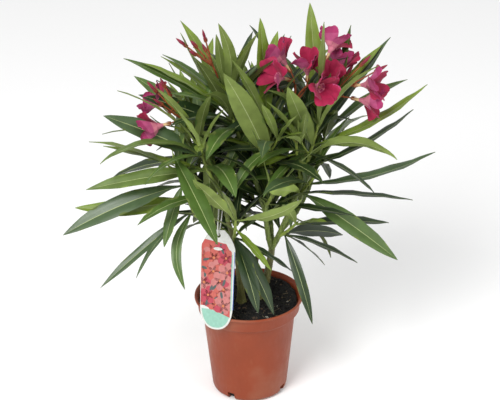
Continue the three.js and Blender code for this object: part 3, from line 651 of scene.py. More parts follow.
def tube_shape(curve, sides, rings, radius_at, bump_at=None):
    """A spun bar, bent along a curve and drawn in to a radius for each share of the way."""
    profile = [(0, 0)] + [(1, row / rings) for row in range(rings + 1)] + [(0, 1)]
    bar, faces = shape_of(("bar", sides, rings), lambda bm: spin_profile(bm, profile, sides))
    start = Vector((0, 1, 0))
    places, points = {}, []
    for x, y, share in bar.tolist():
        if share not in places:
            tangent = curve.tangent(share)
            across = start.cross(tangent).normalized()
            places[share] = curve.at(share), across, tangent.cross(across), radius_at(share)
        centre, across, beside, reach = places[share]
        if math.hypot(x, y) < 0.5:
            points.append(tuple(centre))
            continue
        angle = math.atan2(y, x) % (2 * math.pi)
        if bump_at:
            reach += bump_at(share, angle)
        outward = across * math.cos(angle) + beside * math.sin(angle)
        points.append(tuple(centre + outward * reach))
    return points, faces


# ---------------------------------------------------------------- finishes

class Finish:
    """A node material under construction."""

    def __init__(self, name, base, roughness):
        self.material = bpy.data.materials.new(name)
        self.material.use_nodes = True
        self.nodes = self.material.node_tree.nodes
        self.links = self.material.node_tree.links
        self.shader = self.nodes["Principled BSDF"]
        self.shader.inputs["Base Color"].default_value = (*base, 1)
        self.shader.inputs["Roughness"].default_value = roughness
        self.place = self.nodes.new("ShaderNodeTexCoord").outputs["Object"]

    def noise(self, scale, detail=3.0, stretch=None):
        """A noise over the object's own coordinates, as a number."""
        texture = self.nodes.new("ShaderNodeTexNoise")
        texture.inputs["Scale"].default_value = scale
        texture.inputs["Detail"].default_value = detail
        place = self.place
        if stretch:
            mapping = self.nodes.new("ShaderNodeMapping")
            mapping.inputs["Scale"].default_value = stretch
            self.links.new(place, mapping.inputs["Vector"])
            place = mapping.outputs["Vector"]
        self.links.new(place, texture.inputs["Vector"])
        return texture.outputs["Fac"]

    def cells(self, scale):
        """Distance to the nearest cell centre."""
        texture = self.nodes.new("ShaderNodeTexVoronoi")
        texture.inputs["Scale"].default_value = scale
        self.links.new(self.place, texture.inputs["Vector"])
        return texture.outputs["Distance"]

    def ramp(self, number, stops):
        """A colour for each level of a number."""
        ramp = self.nodes.new("ShaderNodeValToRGB")
        while len(ramp.color_ramp.elements) < len(stops):
            ramp.color_ramp.elements.new(0.5)
        for element, (position, tint) in zip(ramp.color_ramp.elements, stops):
            element.position = position
            element.color = (*tint, 1)
        self.links.new(number, ramp.inputs["Fac"])
        return ramp.outputs["Color"]

    def tinted(self, number, tint, *stops):
        """A tint made darker and paler: each stop is a level of the number and a share."""
        return self.ramp(number, [(level, shade(tint, share)) for level, share in stops])

    def blend(self, number, first, second):
        """Two colours mixed by a number."""
        mixer = self.nodes.new("ShaderNodeMix")
        mixer.data_type = "RGBA"
        self.links.new(number, mixer.inputs["Factor"])
        for socket, tint in zip((mixer.inputs[6], mixer.inputs[7]), (first, second)):
            if isinstance(tint, bpy.types.NodeSocket):
                self.links.new(tint, socket)
            else:
                socket.default_value = (*tint, 1)
        return mixer.outputs[2]

    def range(self, number, low, high, start=0.3, end=0.7):
        """A number brought to another range."""
        mapper = self.nodes.new("ShaderNodeMapRange")
        mapper.inputs["From Min"].default_value = start
        mapper.inputs["From Max"].default_value = end
        mapper.inputs["To Min"].default_value = low
        mapper.inputs["To Max"].default_value = high
        self.links.new(number, mapper.inputs["Value"])
        return mapper.outputs["Result"]

    def bump(self, height, strength, distance):
        bump = self.nodes.new("ShaderNodeBump")
        bump.inputs["Strength"].default_value = strength
        bump.inputs["Distance"].default_value = distance
        self.links.new(height, bump.inputs["Height"])
        self.links.new(bump.outputs["Normal"], self.shader.inputs["Normal"])

    def use(self, **sockets):
        for name, source in sockets.items():
            socket = self.shader.inputs[name.replace("_", " ")]
            if isinstance(source, (int, float)):
                socket.default_value = source
            else:
                self.links.new(source, socket)


def shade(tint, amount):
    """A tint made darker or paler."""
    return tuple(min(1.0, c * amount) for c in tint)


def leaf_finish(name, tint, roughness, coat):
    """A leathery leaf face: faint mottling, and a fine pebbled surface."""
    finish = Finish(name, tint, roughness)
    broad = finish.noise(55, 3)
    tints = finish.tinted(broad, tint, (0.3, 0.8), (0.52, 1), (0.75, 1.22))
    finish.use(Base_Color=tints, Roughness=finish.range(broad, roughness - 0.05, roughness + 0.07))
    finish.use(Coat_Weight=coat, Coat_Roughness=0.28, Specular_IOR_Level=0.4 if coat else 0.2)
    finish.bump(finish.noise(1400, 2), 0.25, 0.0004)
    return finish.material


def petal_finish(name, tint, roughness=0.62):
    """Soft petal tissue with fine streaks."""
    finish = Finish(name, tint, roughness)
    broad = finish.noise(120, 4)
    tints = finish.tinted(broad, tint, (0.3, 0.78), (0.5, 1), (0.72, 1.2))
    finish.use(Base_Color=tints, Sheen_Weight=0.08, Sheen_Roughness=0.4, Specular_IOR_Level=0.25)
    finish.bump(finish.noise(700, 3), 0.35, 0.0005)
    return finish.material


def bark_finish(name, tint, pore):
    """Smooth young bark with pale raised pores and faint streaks."""
    finish = Finish(name, tint, 0.55)
    streaks = finish.noise(260, 4, (1.0, 1.0, 0.22))
    skin = finish.tinted(streaks, tint, (0.3, 0.6), (0.5, 1), (0.7, 1.35))
    pores = finish.range(finish.cells(420), 1.0, 0.0, 0.1, 0.24)
    finish.use(Base_Color=finish.blend(pores, skin, pore))
    finish.bump(streaks, 0.5, 0.0006)
    return finish.material


def make_leaf_finishes(leaf):
    """The upper faces by tone, the lower faces from old to pale, and the midrib."""
    made = []
    for tone in ("deep", "blue", "mid", "olive", "bright", "young"):
        roughness = 0.36 if tone in ("deep", "blue", "mid") else 0.42
        made.append(leaf_finish(f"leaf_face_{tone}", getattr(leaf, tone), roughness, 0.06))
    for age, amount in (("old", 0.5), ("grown", 0.8), ("fresh", 1.0), ("pale", 2.0)):
        made.append(leaf_finish(f"leaf_back_{age}", shade(leaf.under, amount), 0.6, 0.0))
    made.append(leaf_finish("leaf_midrib", leaf.rib, 0.5, 0.05))
    return made


# The places of each tone's upper and lower face in that list.
TONES = {
    "deep": (0, 6), "blue": (1, 6), "mid": (2, 7), "olive": (3, 8), "bright": (4, 8),
    "young": (5, 8), "pale": (3, 9),
}
RIB_SLOT = 10

# ---------------------------------------------------------------- the shoot rule

UP = Vector((0, 0, 1))

# The rule's whorls: the turn from one to the next and between their leaves, and how far luck
# moves a leaf's opening, turn and roll.
WHORL_COUNT, WHORL_TURN, WHORL_STEP, WHORL_CROWDING = 3, 60, 120, 0.9
WHORL_OPEN, WHORL_BEND = (88.0, 24.0), (60.0, 14.0)
OPEN_SWAY, TURN_SWAY, ROLL_SWAY = 16, 24, 50
LENGTH_BY_HEIGHT, LENGTH_BY_LUCK = (1.06, 0.84), (0.88, 1.1)
BEND_BY_LUCK, WIDTH_BY_LUCK = (0.6, 1.3), (0.85, 1.15)
SET_NEAR = 75

# A leaf's tone goes by its height on the stem, by luck and by the height of the whole mass.
# Leaves low on the plant come out darker, partly for their age and partly as painted shade.
TONE_BY_HEIGHT, TONE_BY_LUCK, TONE_MIDDLE, TONE_SPAN = 0.55, 0.45, 330, 500
DEEP_BELOW, GROWN_BELOW, DULL_BELOW = 0.3, 0.52, 0.68
BLUE_LUCK, OLIVE_LUCK = 0.3, 0.75

# Green side twigs, the tuft of young leaves at a tip, and the sprays in the axils.
SIDE_LENGTH, SIDE_FOOT, SIDE_TIP, SIDE_LEAF, SIDE_RISE = 46.0, 1.6, 1.0, 0.68, 42.0
SIDE_AT, SIDE_TURN, SIDE_STEP, SIDE_SPIN, SIDE_SAG, SIDE_WHORLS = (0.3, 0.6), 210, 137, 30, 0.12, 2
TUFT_AT, TUFT_LEVELS, TUFT_BEND, TUFT_ROLL, TUFT_WIDTH = 0.97, [(0.4, 24), (0.2, 12)], 10, 40, 1.1
SPRAY_CHANCE, SPRAY_SPIN, SPRAY_RISE, SPRAY_REACH = 0.45, 25, (25, 55), (14, 26)
SPRAY_LEAF, SPRAY_SAG, SPRAY_LIFT, SPRAY_FOOT, SPRAY_TIP = (0.34, 0.5), 2.0, 15, 1.0, 0.7


def shoot_curve(stem):
    """The line of a green stem from its foot to its last whorl, sagging at mid length."""
    knee = [(low + high) / 2 for low, high in zip(stem["foot"], stem["tip"])]
    knee[2] -= stem["sag"]
    return Curve(stem["foot"], knee, stem["tip"])


def stem_path(stem):
    """The stem's own path, drawn out to a pointed bud past its last whorl."""
    curve = shoot_curve(stem)
    past = Vector(stem["tip"]) + curve.tangent(1) * SHOOT_BUD
    return Curve(stem["foot"], curve.knee, past)


def whorl_height(stem, whorl):
    """How far up its stem a whorl is, from 0 for the lowest to 1 for the last."""
    return whorl / (stem["whorls"] - 1) if stem["whorls"] > 1 else 1


def whorl_share(curve, stem, whorl):
    """The share of the way along the stem, with the whorls a little closer towards the tip."""
    return mix(BARE_FOOT / curve.length(), 1, whorl_height(stem, whorl) ** WHORL_CROWDING)


def whorl_turn(stem, whorl, leaf):
    """The turn of a leaf round its stem. Each whorl's leaves stand over the gaps of the last."""
    return stem["turn"] + WHORL_TURN * whorl + WHORL_STEP * leaf


def opened(along, turn, opening):
    """The heading and rise of a leaf that opens by an angle from its stem's own direction."""
    away = direction(turn, 90 - opening)
    away.rotate(UP.rotation_difference(along))
    return heading_and_rise(away)


def rule_leaves(curve, stem, whorl, seed):
    """The three leaves of one whorl, set out round the stem's own direction."""
    share, height = whorl_share(curve, stem, whorl), whorl_height(stem, whorl)
    leaves = []
    for j in range(WHORL_COUNT):
        opening = mix(*WHORL_OPEN, height) + sway(OPEN_SWAY, seed, whorl, j, 1)
        turn = whorl_turn(stem, whorl, j) + sway(TURN_SWAY, seed, whorl, j, 2)
        grown = stem["leaf"] * mix(*LENGTH_BY_HEIGHT, height**2)
        leaves.append(blade(
            *opened(curve.tangent(share), turn, opening),
            length=grown * mix(*LENGTH_BY_LUCK, chance(seed, whorl, j, 3)),
            bend=mix(*WHORL_BEND, height) * mix(*BEND_BY_LUCK, chance(seed, whorl, j, 4)),
            roll=sway(ROLL_SWAY, seed, whorl, j, 5),
            tone=rule_tone(stem, height, chance(seed, whorl, j, 6)),
            width=mix(*WIDTH_BY_LUCK, chance(seed, whorl, j, 7)),
            base=curve.at(share), by_rule=True, whorl=whorl,
        ))
    return leaves


def rule_tone(stem, height, luck):
    """Old leaves low and inside are deep, partly as painted shade, and the top ones bright."""
    level = TONE_BY_HEIGHT * height + TONE_BY_LUCK * luck
    level += (stem["tip"][2] - TONE_MIDDLE) / TONE_SPAN
    if level < DEEP_BELOW:
        return "deep"
    if level < GROWN_BELOW:
        return "mid" if luck > BLUE_LUCK else "blue"
    if level < DULL_BELOW:
        return "olive" if luck > OLIVE_LUCK else "mid"
    return "bright"


def whorl_leaves(curve, stem, whorl, seed):
    """The rule's whorl with each set leaf in the place of the nearest one."""
    leaves = rule_leaves(curve, stem, whorl, seed)
    base = curve.at(whorl_share(curve, stem, whorl))
    for chosen in stem.get("leaves", ()):
        if chosen["whorl"] != whorl:
            continue
        spare = [
            (apart(leaf["heading"], chosen["heading"]), number)
            for number, leaf in enumerate(leaves) if leaf["by_rule"]
        ]
        if spare and min(spare)[0] < SET_NEAR:
            leaves.pop(min(spare)[1])
        if chosen["length"]:
            leaves.append({**chosen, "base": base})
    return leaves


def fine_stem(foot, out, reach, sag, whorls, leaf, turn):
    """A small stem that leaves another one, described as a mass's own stem is."""
    return {
        "foot": tuple(foot), "tip": tuple(foot + out * reach), "sag": sag, "whorls": whorls,
        "leaf": leaf, "turn": turn,
    }


def side_twigs(stem, curve, seed):
    """The green twigs that leave a mass's stem part of the way up."""
    twigs = []
    for k in range(stem["sides"]):
        foot = curve.at(mix(*SIDE_AT, chance(seed, 90 + k, 1)))
        out = direction(stem["turn"] + SIDE_TURN + SIDE_STEP * k, SIDE_RISE)
        twigs.append(fine_stem(
            foot, out, SIDE_LENGTH, SIDE_LENGTH * SIDE_SAG, SIDE_WHORLS, stem["leaf"] * SIDE_LEAF,
            stem["turn"] + SIDE_SPIN,
        ))
    return twigs


def tuft(stem, curve, seed):
    """The youngest leaves, close about the bud at a stem's tip."""
    leaves = []
    tip = stem_path(stem).at(TUFT_AT)
    for level, (size, opening) in enumerate(TUFT_LEVELS):
        for j in range(WHORL_COUNT):
            turn = whorl_turn(stem, stem["whorls"] + level, j)
            leaves.append(blade(
                *opened(curve.tangent(1), turn, opening),
                length=stem["leaf"] * size * mix(0.85, 1.15, chance(seed, level, j, 31)),
                bend=TUFT_BEND * chance(seed, level, j, 32),
                roll=sway(TUFT_ROLL, seed, level, j, 33),
                tone="bright", width=TUFT_WIDTH, base=tip, by_rule=True, whorl=stem["whorls"],
            ))
    return leaves


def axil_sprays(stem, curve, seed):
    """Short side shoots in the axils of some whorls, with three small leaves each."""
    sprays = []
    for whorl in range(stem["whorls"] - 1):
        if chance(seed, whorl, 41) < SPRAY_CHANCE:
            foot = curve.at(whorl_share(curve, stem, whorl))
            axil = int(WHORL_COUNT * chance(seed, whorl, 42))
            turn = whorl_turn(stem, whorl, axil) + SPRAY_SPIN
            sprays.append(fine_stem(
                foot, direction(turn, mix(*SPRAY_RISE, chance(seed, whorl, 43))),
                mix(*SPRAY_REACH, chance(seed, whorl, 44)), SPRAY_SAG, 1,
                stem["leaf"] * mix(*SPRAY_LEAF, chance(seed, whorl, 45)), turn,
            ))
    return sprays


# ---------------------------------------------------------------- leaf blades

# A blade's outline as shares of its half width at shares of its length, then its petiole, the
# fold and waves of its halves, and the groove and keel of its midrib.
SPINE_STEPS = 40
OUTLINE_AT = [0, 0.03, 0.08, 0.15, 0.25, 0.36, 0.48, 0.6, 0.72, 0.83, 0.92, 0.97, 1]
OUTLINE = [0.12, 0.13, 0.3, 0.55, 0.8, 0.95, 1.0, 0.97, 0.84, 0.6, 0.34, 0.15, 0.01]
LEAF_ASPECT, LEAF_PETIOLE, LEAF_ROOT_INSET, PETIOLE_END, PETIOLE_DEPTH = 0.15, 1.1, 1.0, 0.1, 0.9
FOLD_BY_LUCK, FOLD_EASE, ROLL_RATE = (0.5, 1.3), 0.6, 3
WAVES, MORE_WAVES, WAVE_FULL_HALF = 2.2, 1.6, 6
RIB_HALF, RIB_FULL_HALF, RIB_GROOVE, RIB_KEEL, RIB_TAPER = 0.1, 4, 0.25, 0.9, 0.6


class Grid:
    """The faces of a leaf blade, and the places of its rows and columns."""

    def __init__(self, stations, across):
        self.stations, self.across = np.array(stations), np.array(across)
        self.faces, self.sides = sheet_faces(len(stations), len(across))
        self.rib = (len(across) - 2) // 2
        self.groove = np.abs(self.across) < RIB_HALF

    def slots(self, tone):
        face, back = TONES[tone]
        return [
            RIB_SLOT if column == self.rib else (face if above else back)
            for above, _row, column in self.sides
        ]


FINE = Grid(
    [0, 0.03, 0.07, 0.13, 0.2, 0.28, 0.37, 0.46, 0.55, 0.64, 0.73, 0.81, 0.88, 0.94, 0.98, 1],
    [-1, -0.68, -0.34, -0.03, 0.03, 0.34, 0.68, 1],
)
PLAIN = Grid([0, 0.06, 0.16, 0.3, 0.45, 0.6, 0.75, 0.89, 1], [-1, -0.45, -0.035, 0.035, 0.45, 1])


def leaf_spine(leaf):
    """Points, sideways and upward directions along a leaf that bends over as it runs out."""
    along = np.arange(SPINE_STEPS + 1) / SPINE_STEPS
    heading = math.radians(leaf["heading"])
    level = np.array([math.cos(heading), math.sin(heading), 0])
    rise = np.array([0, 0, 1.0])
    middle = np.radians(leaf["rise"] + leaf["bend"] * (0.5 - along[:-1] - 0.5 / SPINE_STEPS))
    step = leaf["length"] / SPINE_STEPS
    reach = np.concatenate([[0], np.cumsum(np.cos(middle)) * step])
    climb = np.concatenate([[0], np.cumsum(np.sin(middle)) * step])
    start = np.array(leaf["base"]) + level * LEAF_ROOT_INSET
    points = start + reach[:, None] * level + climb[:, None] * rise
    pitch = np.radians(leaf["rise"] + leaf["bend"] * (0.5 - along))
    across = np.array([-math.sin(heading), math.cos(heading), 0])
    tangent = np.cos(pitch)[:, None] * level + np.sin(pitch)[:, None] * rise
    up = np.cross(tangent, across)
    swing = np.sin(math.pi * along)[:, None]
    points = points + swing * (leaf["arc"] * across - leaf["dip"] * up)
    roll = np.radians(leaf["roll"] * np.minimum(1, along * ROLL_RATE))[:, None]
    side = across * np.cos(roll) + up * np.sin(roll)
    return points, side, up * np.cos(roll) - across * np.sin(roll)


def leaf_shape(leaf, grid, settings, seed):
    """The finished blade of one leaf, in millimetres."""
    along, across = grid.stations, grid.across
    steps = np.arange(SPINE_STEPS + 1)
    points, side, up = [
        np.stack([np.interp(along * SPINE_STEPS, steps, line[:, axis]) for axis in range(3)], 1)
        for line in leaf_spine(leaf)
    ]
    petiole = along < PETIOLE_END
    half = 0.5 * leaf["length"] * LEAF_ASPECT * leaf["width"]
    half = half * np.interp(along, OUTLINE_AT, OUTLINE)
    half = np.where(petiole, np.maximum(half, LEAF_PETIOLE), half)
    fold = settings.fold * mix(*FOLD_BY_LUCK, chance(seed, 14))
    height = half[:, None] * (fold * np.abs(across) - FOLD_EASE * fold * across**2)
    waves = WAVES + MORE_WAVES * chance(seed, 12)
    for sign in (-1, 1):
        edge = across * sign > 0
        phase = 2 * math.pi * chance(seed, 13, sign + 2)
        ripple = np.sin(2 * math.pi * waves * along + phase) * np.minimum(1, half / WAVE_FULL_HALF)
        height[:, edge] += settings.wave / MM * ripple[:, None] * across[edge] ** 2
    rib = np.minimum(1, half / RIB_FULL_HALF)[:, None] * grid.groove
    stalk = np.where(petiole, PETIOLE_DEPTH, 0.0)[:, None] * (1 - np.abs(across))
    low = height - settings.thickness / MM * (1 - across**4) - stalk
    low -= grid.groove * (RIB_KEEL - RIB_TAPER * along)[:, None]
    spread = half[:, None] * across

    def sheet(level):
        return points[:, None] + side[:, None] * spread[..., None] + up[:, None] * level[..., None]

    return sheet_points(sheet(height - RIB_GROOVE * rib), sheet(low))


# ---------------------------------------------------------------- growing the plant

SOLIDS_AROUND = ["pot", "soil", "label", "label_loop"]

# How near a leaf's tip is to a point of the solids when it is that leaf, and the steepest rise.
TIP_MATCH, STEEPEST = 0.6, 86

# The gaps that set, inner and spray leaves keep from limbs, pot and label.
SET_CLEAR, INNER_CLEAR, SPRAY_CLEAR = 0.7, 1.0, 3.0

# The inner leaves, and the part of the crown that their tips may lie in.
INNER_WHORLS, INNER_LEAF, INNER_SPIN, INNER_MID_LUCK = 7, 0.85, 30, 0.75
CORE, CORE_RADIUS, CORE_FRONT = Vector((10, 20, 165)), 125.0, -45.0

# Sprays grow on masses whose foot is at least this far back.
BACK_FOOT = 20


class Obstacles:
    """The rigid nodes that no added leaf may run through."""

    def __init__(self, names):
        self.trees = []
        for name in names:
            mesh = frame["nodes"][name].data
            corners = [v.co for v in mesh.vertices]
            faces = [tuple(p.vertices) for p in mesh.polygons]
            self.trees.append(bvhtree.BVHTree.FromPolygons(corners, faces))

    def clear_of(self, leaf, gap, first=8, step=4):
        """Whether the leaf's middle line, from a little past its foot, keeps this gap."""
        line = [Vector(point) * MM for point in leaf_spine(leaf)[0][first::step]]
        found = (tree.find_nearest(point, gap * MM)[0] for point in line for tree in self.trees)
        return all(near is None for near in found)


def node_points(name):
    """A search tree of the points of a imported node, in millimetres."""
    mesh = frame["nodes"][name].data
    tree = kdtree.KDTree(len(mesh.vertices))
    for index, vertex in enumerate(mesh.vertices):
        tree.insert(vertex.co / MM, index)
    tree.balance()
    return tree


def inside_reach(points):
    """Whether all these points lie inside the box of the solids."""
    low, high = np.array(CAD_BOX)
    points = np.asarray(points) * MM
    return bool(np.all(points >= low) and np.all(points <= high))


def grown_leaf(leaf, tree):
    """The way this leaf lies in the solids, or None where it was left out."""
    for turn, lift in RULE_TRIES if leaf["by_rule"] else SET_TRIES:
        rise = min(STEEPEST, leaf["rise"] + lift)
        tried = {**leaf, "heading": leaf["heading"] + turn, "rise": rise}
        if tree.find(leaf_spine(tried)[0][-1])[2] < TIP_MATCH:
            return tried
    return None


def placed_leaf(leaf, stem, tree, obstacles):
    """The way a leaf is placed, or None.

    A set leaf lies as it is given, and any other one, or one with a limb in its way, as the
    solids have it. A mass's crest changes the length of the rule's topmost leaves.
    """
    if not leaf["by_rule"] and obstacles.clear_of(leaf, SET_CLEAR, 6, 3):
        return leaf
    found = grown_leaf(leaf, tree)
    if found and leaf["by_rule"] and leaf["whorl"] == stem["whorls"] - 1:
        found["length"] *= stem.get("crest", 1.0)
    return found


def spray_leaves(spray, seed, obstacles):
    """A spray's young leaves, or none where one of them would come close to a limb."""
    young = rule_leaves(shoot_curve(spray), spray, 0, seed + 300)
    for leaf in young:
        leaf["tone"] = "bright" if chance(seed, leaf["whorl"], 51) > 0.4 else "mid"
        leaf["rise"] += SPRAY_LIFT
    return young if all(obstacles.clear_of(leaf, SPRAY_CLEAR) for leaf in young) else []


def in_core(tip):
    """Whether a leaf's tip lies deep in the crown."""
    reach = math.hypot(tip.x - CORE.x, tip.y - CORE.y)
    return reach < CORE_RADIUS and tip.z > CORE.z and tip.y > CORE_FRONT


def inner_leaves(mass, curve, seed, obstacles):
    """Old leaves further down the mass's stem and its bough, darkened partly as painted shade."""
    runs = [(curve, mass["whorls"] + 1, range(mass["whorls"]))]
    if mass["at"] == 1:
        runs.append((limb_curve(mass["parent"]), INNER_WHORLS, range(1, INNER_WHORLS - 2)))
    leaves = []
    for number, (line, whorls, used) in enumerate(runs):
        stem = {
            **mass, "whorls": whorls, "leaf": mass["leaf"] * INNER_LEAF,
            "turn": mass["turn"] + INNER_SPIN,
        }
        for whorl in used:
            for leaf in rule_leaves(line, stem, whorl, seed + 500 + 40 * number):
                tip = Vector(leaf_spine(leaf)[0][-1])
                if in_core(tip) and obstacles.clear_of(leaf, INNER_CLEAR):
                    # Painted shade: most inner leaves take the deep tone, the rest the mid one.
                    luck = chance(seed, whorl, int(leaf["heading"]) + 400, 52)
                    leaf["tone"] = "mid" if luck > INNER_MID_LUCK else "deep"
                    leaves.append(leaf)
    return leaves


def grow_mass(index, mass, obstacles):
    """The stems and leaves of one mass, as the solids have them, with the finer ones added."""
    tree = node_points(f"shoot_{mass['name']}")
    curve = shoot_curve(mass)
    stems = [(mass, SHOOT_FOOT, SHOOT_TIP)]
    for twig in side_twigs(mass, curve, index):
        if tree.find(stem_path(twig).tip)[2] < TIP_MATCH:
            stems.append((twig, SIDE_FOOT, SIDE_TIP))
    leaves, extras = [], []
    # Sprays join the stems as they are found, so each of them gets a tuft in its turn.
    for number, (stem, _foot, _tip) in enumerate(stems):
        line, seed = shoot_curve(stem), index * 7 + number
        for whorl in range(stem["whorls"]):
            for leaf in whorl_leaves(line, stem, whorl, seed):
                leaves.append(placed_leaf(leaf, stem, tree, obstacles))
        if not stem.get("truss") and mass["tip"][1] > 0:
            extras.extend(tuft(stem, line, seed))
        for spray in axil_sprays(stem, line, seed) if mass["foot"][1] > BACK_FOOT else ():
            young = spray_leaves(spray, seed, obstacles)
            if young:
                extras.extend(young)
                stems.append((spray, SPRAY_FOOT, SPRAY_TIP))
    extras.extend(inner_leaves(mass, curve, index * 7, obstacles))
    leaves = [leaf for leaf in leaves if leaf]
    leaves.extend(leaf for leaf in extras if inside_reach(leaf_spine(leaf)[0]))
    return {"mass": mass, "index": index, "stems": stems, "leaves": leaves}


PLANTS = []


def plants():
    """Every mass of the plant, grown once and kept."""
    if not PLANTS:
        obstacles = Obstacles(list(LIMBS) + SOLIDS_AROUND)
        PLANTS.extend(grow_mass(index, mass, obstacles) for index, mass in enumerate(SHOOTS))
    return PLANTS


# ---------------------------------------------------------------- blossom shapes

PETAL_ROWS = np.array([0, 0.12, 0.25, 0.38, 0.52, 0.66, 0.79, 0.9, 0.97, 1])
PETAL_COLUMNS = np.array([-1, -0.7, -0.36, 0, 0.36, 0.7, 1])
PETAL_WIDTH = np.array([0.4, 0.54, 0.68, 0.82, 0.93, 1.0, 1.0, 0.9, 0.74, 0.56])
PETAL_FACES, PETAL_SIDES = sheet_faces(len(PETAL_ROWS), len(PETAL_COLUMNS))
PETALS, FULL_REACH = 5, 0.024
PETAL_TURN = 360 // PETALS

# A petal's length and half width, the place of its foot, and its lean, curl and twist from a
# closed flower to an open one.
PETAL_LENGTH, PETAL_HALF, PETAL_FOOT, PETAL_LEVEL, PETAL_THICK = 23.5, 11.5, 5.6, 17.0, 0.5
PETAL_LEAN, PETAL_CURL, PETAL_TWIST, PETAL_SET = (12, 52), (4, 38), (30, 18), 12
PETAL_SKEW, CUP, CUP_FLATTEN, RUFFLE, RUFFLE_WAVES = 0.2, 0.34, 0.5, 1.1, 5.5

# The places of the finishes in a blossom's list.
PETAL_FACE, PETAL_BACK, THROAT, TUBE, BUD_SKIN, CALYX, FLUSH = range(7)
THROAT_ROWS, FLUSH_ROWS = 2, 5

# The funnel, the anthers and the bud are turned from radii and levels. A bud's are shares of its
# girth and length. Three threads of the fringe stand before each petal.
FLOWER_TUBE = [
    (0, 0), (1.5, 0), (1.7, 4), (2.0, 9), (3.0, 12.5), (4.8, 16), (6.4, 19.5), (5.8, 19.6),
    (4.2, 16.2), (2.4, 12.8), (1.2, 9.4), (0, 9),
]
TUBE_SIDES, TUBE_PALE = 15, 8.8
ANTHERS, ANTHER_SIDES = [(0, 9), (1.1, 10), (1.5, 14), (0.9, 17.5), (0, 19.5)], 8
FRINGE_STEP, FRINGE_FOOT, FRINGE_OUT, FRINGE_RISE = 0.3, 4.9, 1.2, 5.5
BUD_PROFILE = [
    (0, 0), (0.8, 0), (1.1, 0.16), (1.0, 0.3), (1.25, 0.45), (1.15, 0.62), (0.8, 0.78),
    (0.4, 0.92), (0, 1),
]
BUD_GIRTH, BUD_SIDES, BUD_TWIST, BUD_RIDGE = 1.84, 10, 0.08, -0.12

# A sepal's foot, knee and tip as pairs of radius and level, and its half width.
FLOWER_SEPAL = [(1.2, -0.6), (2.7, 2), (2.3, 6)], 1.05
BUD_SEPAL = [(1.0, 0), (2.5, 2.4), (2.1, 6.5)], 1.0
SEPAL_TURN = 0.6

TRUSS_FOOT, TRUSS_ARCH, STALK_BASE, STALK_SWELL, BRACTS_AT = 1.7, 4, 1.15, 0.5, (0.12, 0.5)


def petal_shape(turn, opening, reach, seed):
    """One petal of a flower that stands on the origin and faces +Z, in millimetres."""
    lean = math.radians(mix(*PETAL_LEAN, opening) + sway(10, seed, 21))
    curl = math.radians(mix(*PETAL_CURL, opening) * mix(0.7, 1.3, chance(seed, 22)))
    size = PETAL_LENGTH * reach * mix(0.92, 1.08, chance(seed, 23))
    angles = lean + curl * PETAL_ROWS**1.3
    steps = np.diff(PETAL_ROWS, prepend=0) * size
    out = PETAL_FOOT + np.cumsum(np.sin(angles) * steps)
    rise = PETAL_LEVEL + np.cumsum(np.cos(angles) * steps)
    rows, half = PETAL_ROWS[:, None], (PETAL_HALF * reach * PETAL_WIDTH)[:, None]
    sine, cosine = np.sin(angles)[:, None], np.cos(angles)[:, None]
    twist = math.radians(mix(*PETAL_TWIST, opening)) * rows + math.radians(PETAL_SET)
    skew = PETAL_SKEW * half * PETAL_COLUMNS * rows**3
    cup = half * (CUP - CUP_FLATTEN * rows) * PETAL_COLUMNS**2
    phase = 2 * math.pi * chance(seed, 24)
    lift = cup + RUFFLE * np.sin(RUFFLE_WAVES * PETAL_COLUMNS + phase) * rows**2.5
    across = half * PETAL_COLUMNS
    side = across * np.cos(twist) - lift * np.sin(twist)
    face = across * np.sin(twist) + lift * np.cos(twist)

    def sheet(offset):
        radial = out[:, None] - (face + offset) * cosine + skew * sine
        level = rise[:, None] + (face + offset) * sine + skew * cosine
        x = radial * math.cos(turn) - side * math.sin(turn)
        y = radial * math.sin(turn) + side * math.cos(turn)
        return np.stack([x, y, level], 2)

    skin = PETAL_THICK * (1 - PETAL_COLUMNS**4) * np.ones((len(PETAL_ROWS), 1))
    return sheet_points(sheet(skin * 0.5), sheet(-skin * 0.5))


def petal_slot(inner, row):
    """The finish of a petal's face: outside, it goes from pale through flushed to its own."""
    if inner:
        return PETAL_FACE
    if row < THROAT_ROWS:
        return THROAT
    return FLUSH if row < FLUSH_ROWS else PETAL_BACK


PETAL_SLOTS = [petal_slot(inner, row) for inner, row, _column in PETAL_SIDES]


def lathe_shape(profile, sides, twist=0.0, ridge=0.0):
    """A spun shape, twisted by an angle for each millimetre up and ridged between its sides."""
    key = ("lathe", tuple(profile), sides)
    points, faces = shape_of(key, lambda bm: spin_profile(bm, profile, sides))
    angle = np.arctan2(points[:, 1], points[:, 0])
    reach = np.hypot(points[:, 0], points[:, 1])
    reach *= 1 + ridge * 0.5 * (1 - np.cos(sides / 2 * angle))
    turned = angle + twist * points[:, 2]
    return np.stack([reach * np.cos(turned), reach * np.sin(turned), points[:, 2]], 1), faces


def sepal_shape(turn, places, girth):
    """One pointed sepal of a calyx."""
    path = Curve(*(round_z(turn, radius, level) for radius, level in places))
    return tube_shape(path, 5, 4, lambda share: girth * (1 - share) ** 0.8 + 0.05)


def fringe_shape(turn, part):
    """One of the three tapering threads before a petal, of which the middle one is the longest."""
    angle = turn + part * FRINGE_STEP
    root = round_z(angle, FRINGE_FOOT, PETAL_LEVEL)
    tip = root + round_z(angle, FRINGE_OUT, FRINGE_RISE - abs(part))
    return tube_shape(Curve(root, (root + tip) / 2, tip), 4, 2, lambda share: 0.9 - 0.8 * share)


class Seat:
    """The place in a bundle where one flower or bud stands, and the way that it faces."""

    def __init__(self, bundle, at, heading, rise):
        self.bundle, self.at = bundle, np.array(at)
        self.turn = np.array(UP.rotation_difference(direction(heading, rise)).to_matrix()).T

    def put(self, shape, slots):
        """Adds a shape that faces +Z, turned to the way of the seat."""
        points, faces = shape
        self.bundle.add(np.asarray(points) @ self.turn + self.at, faces, slots)


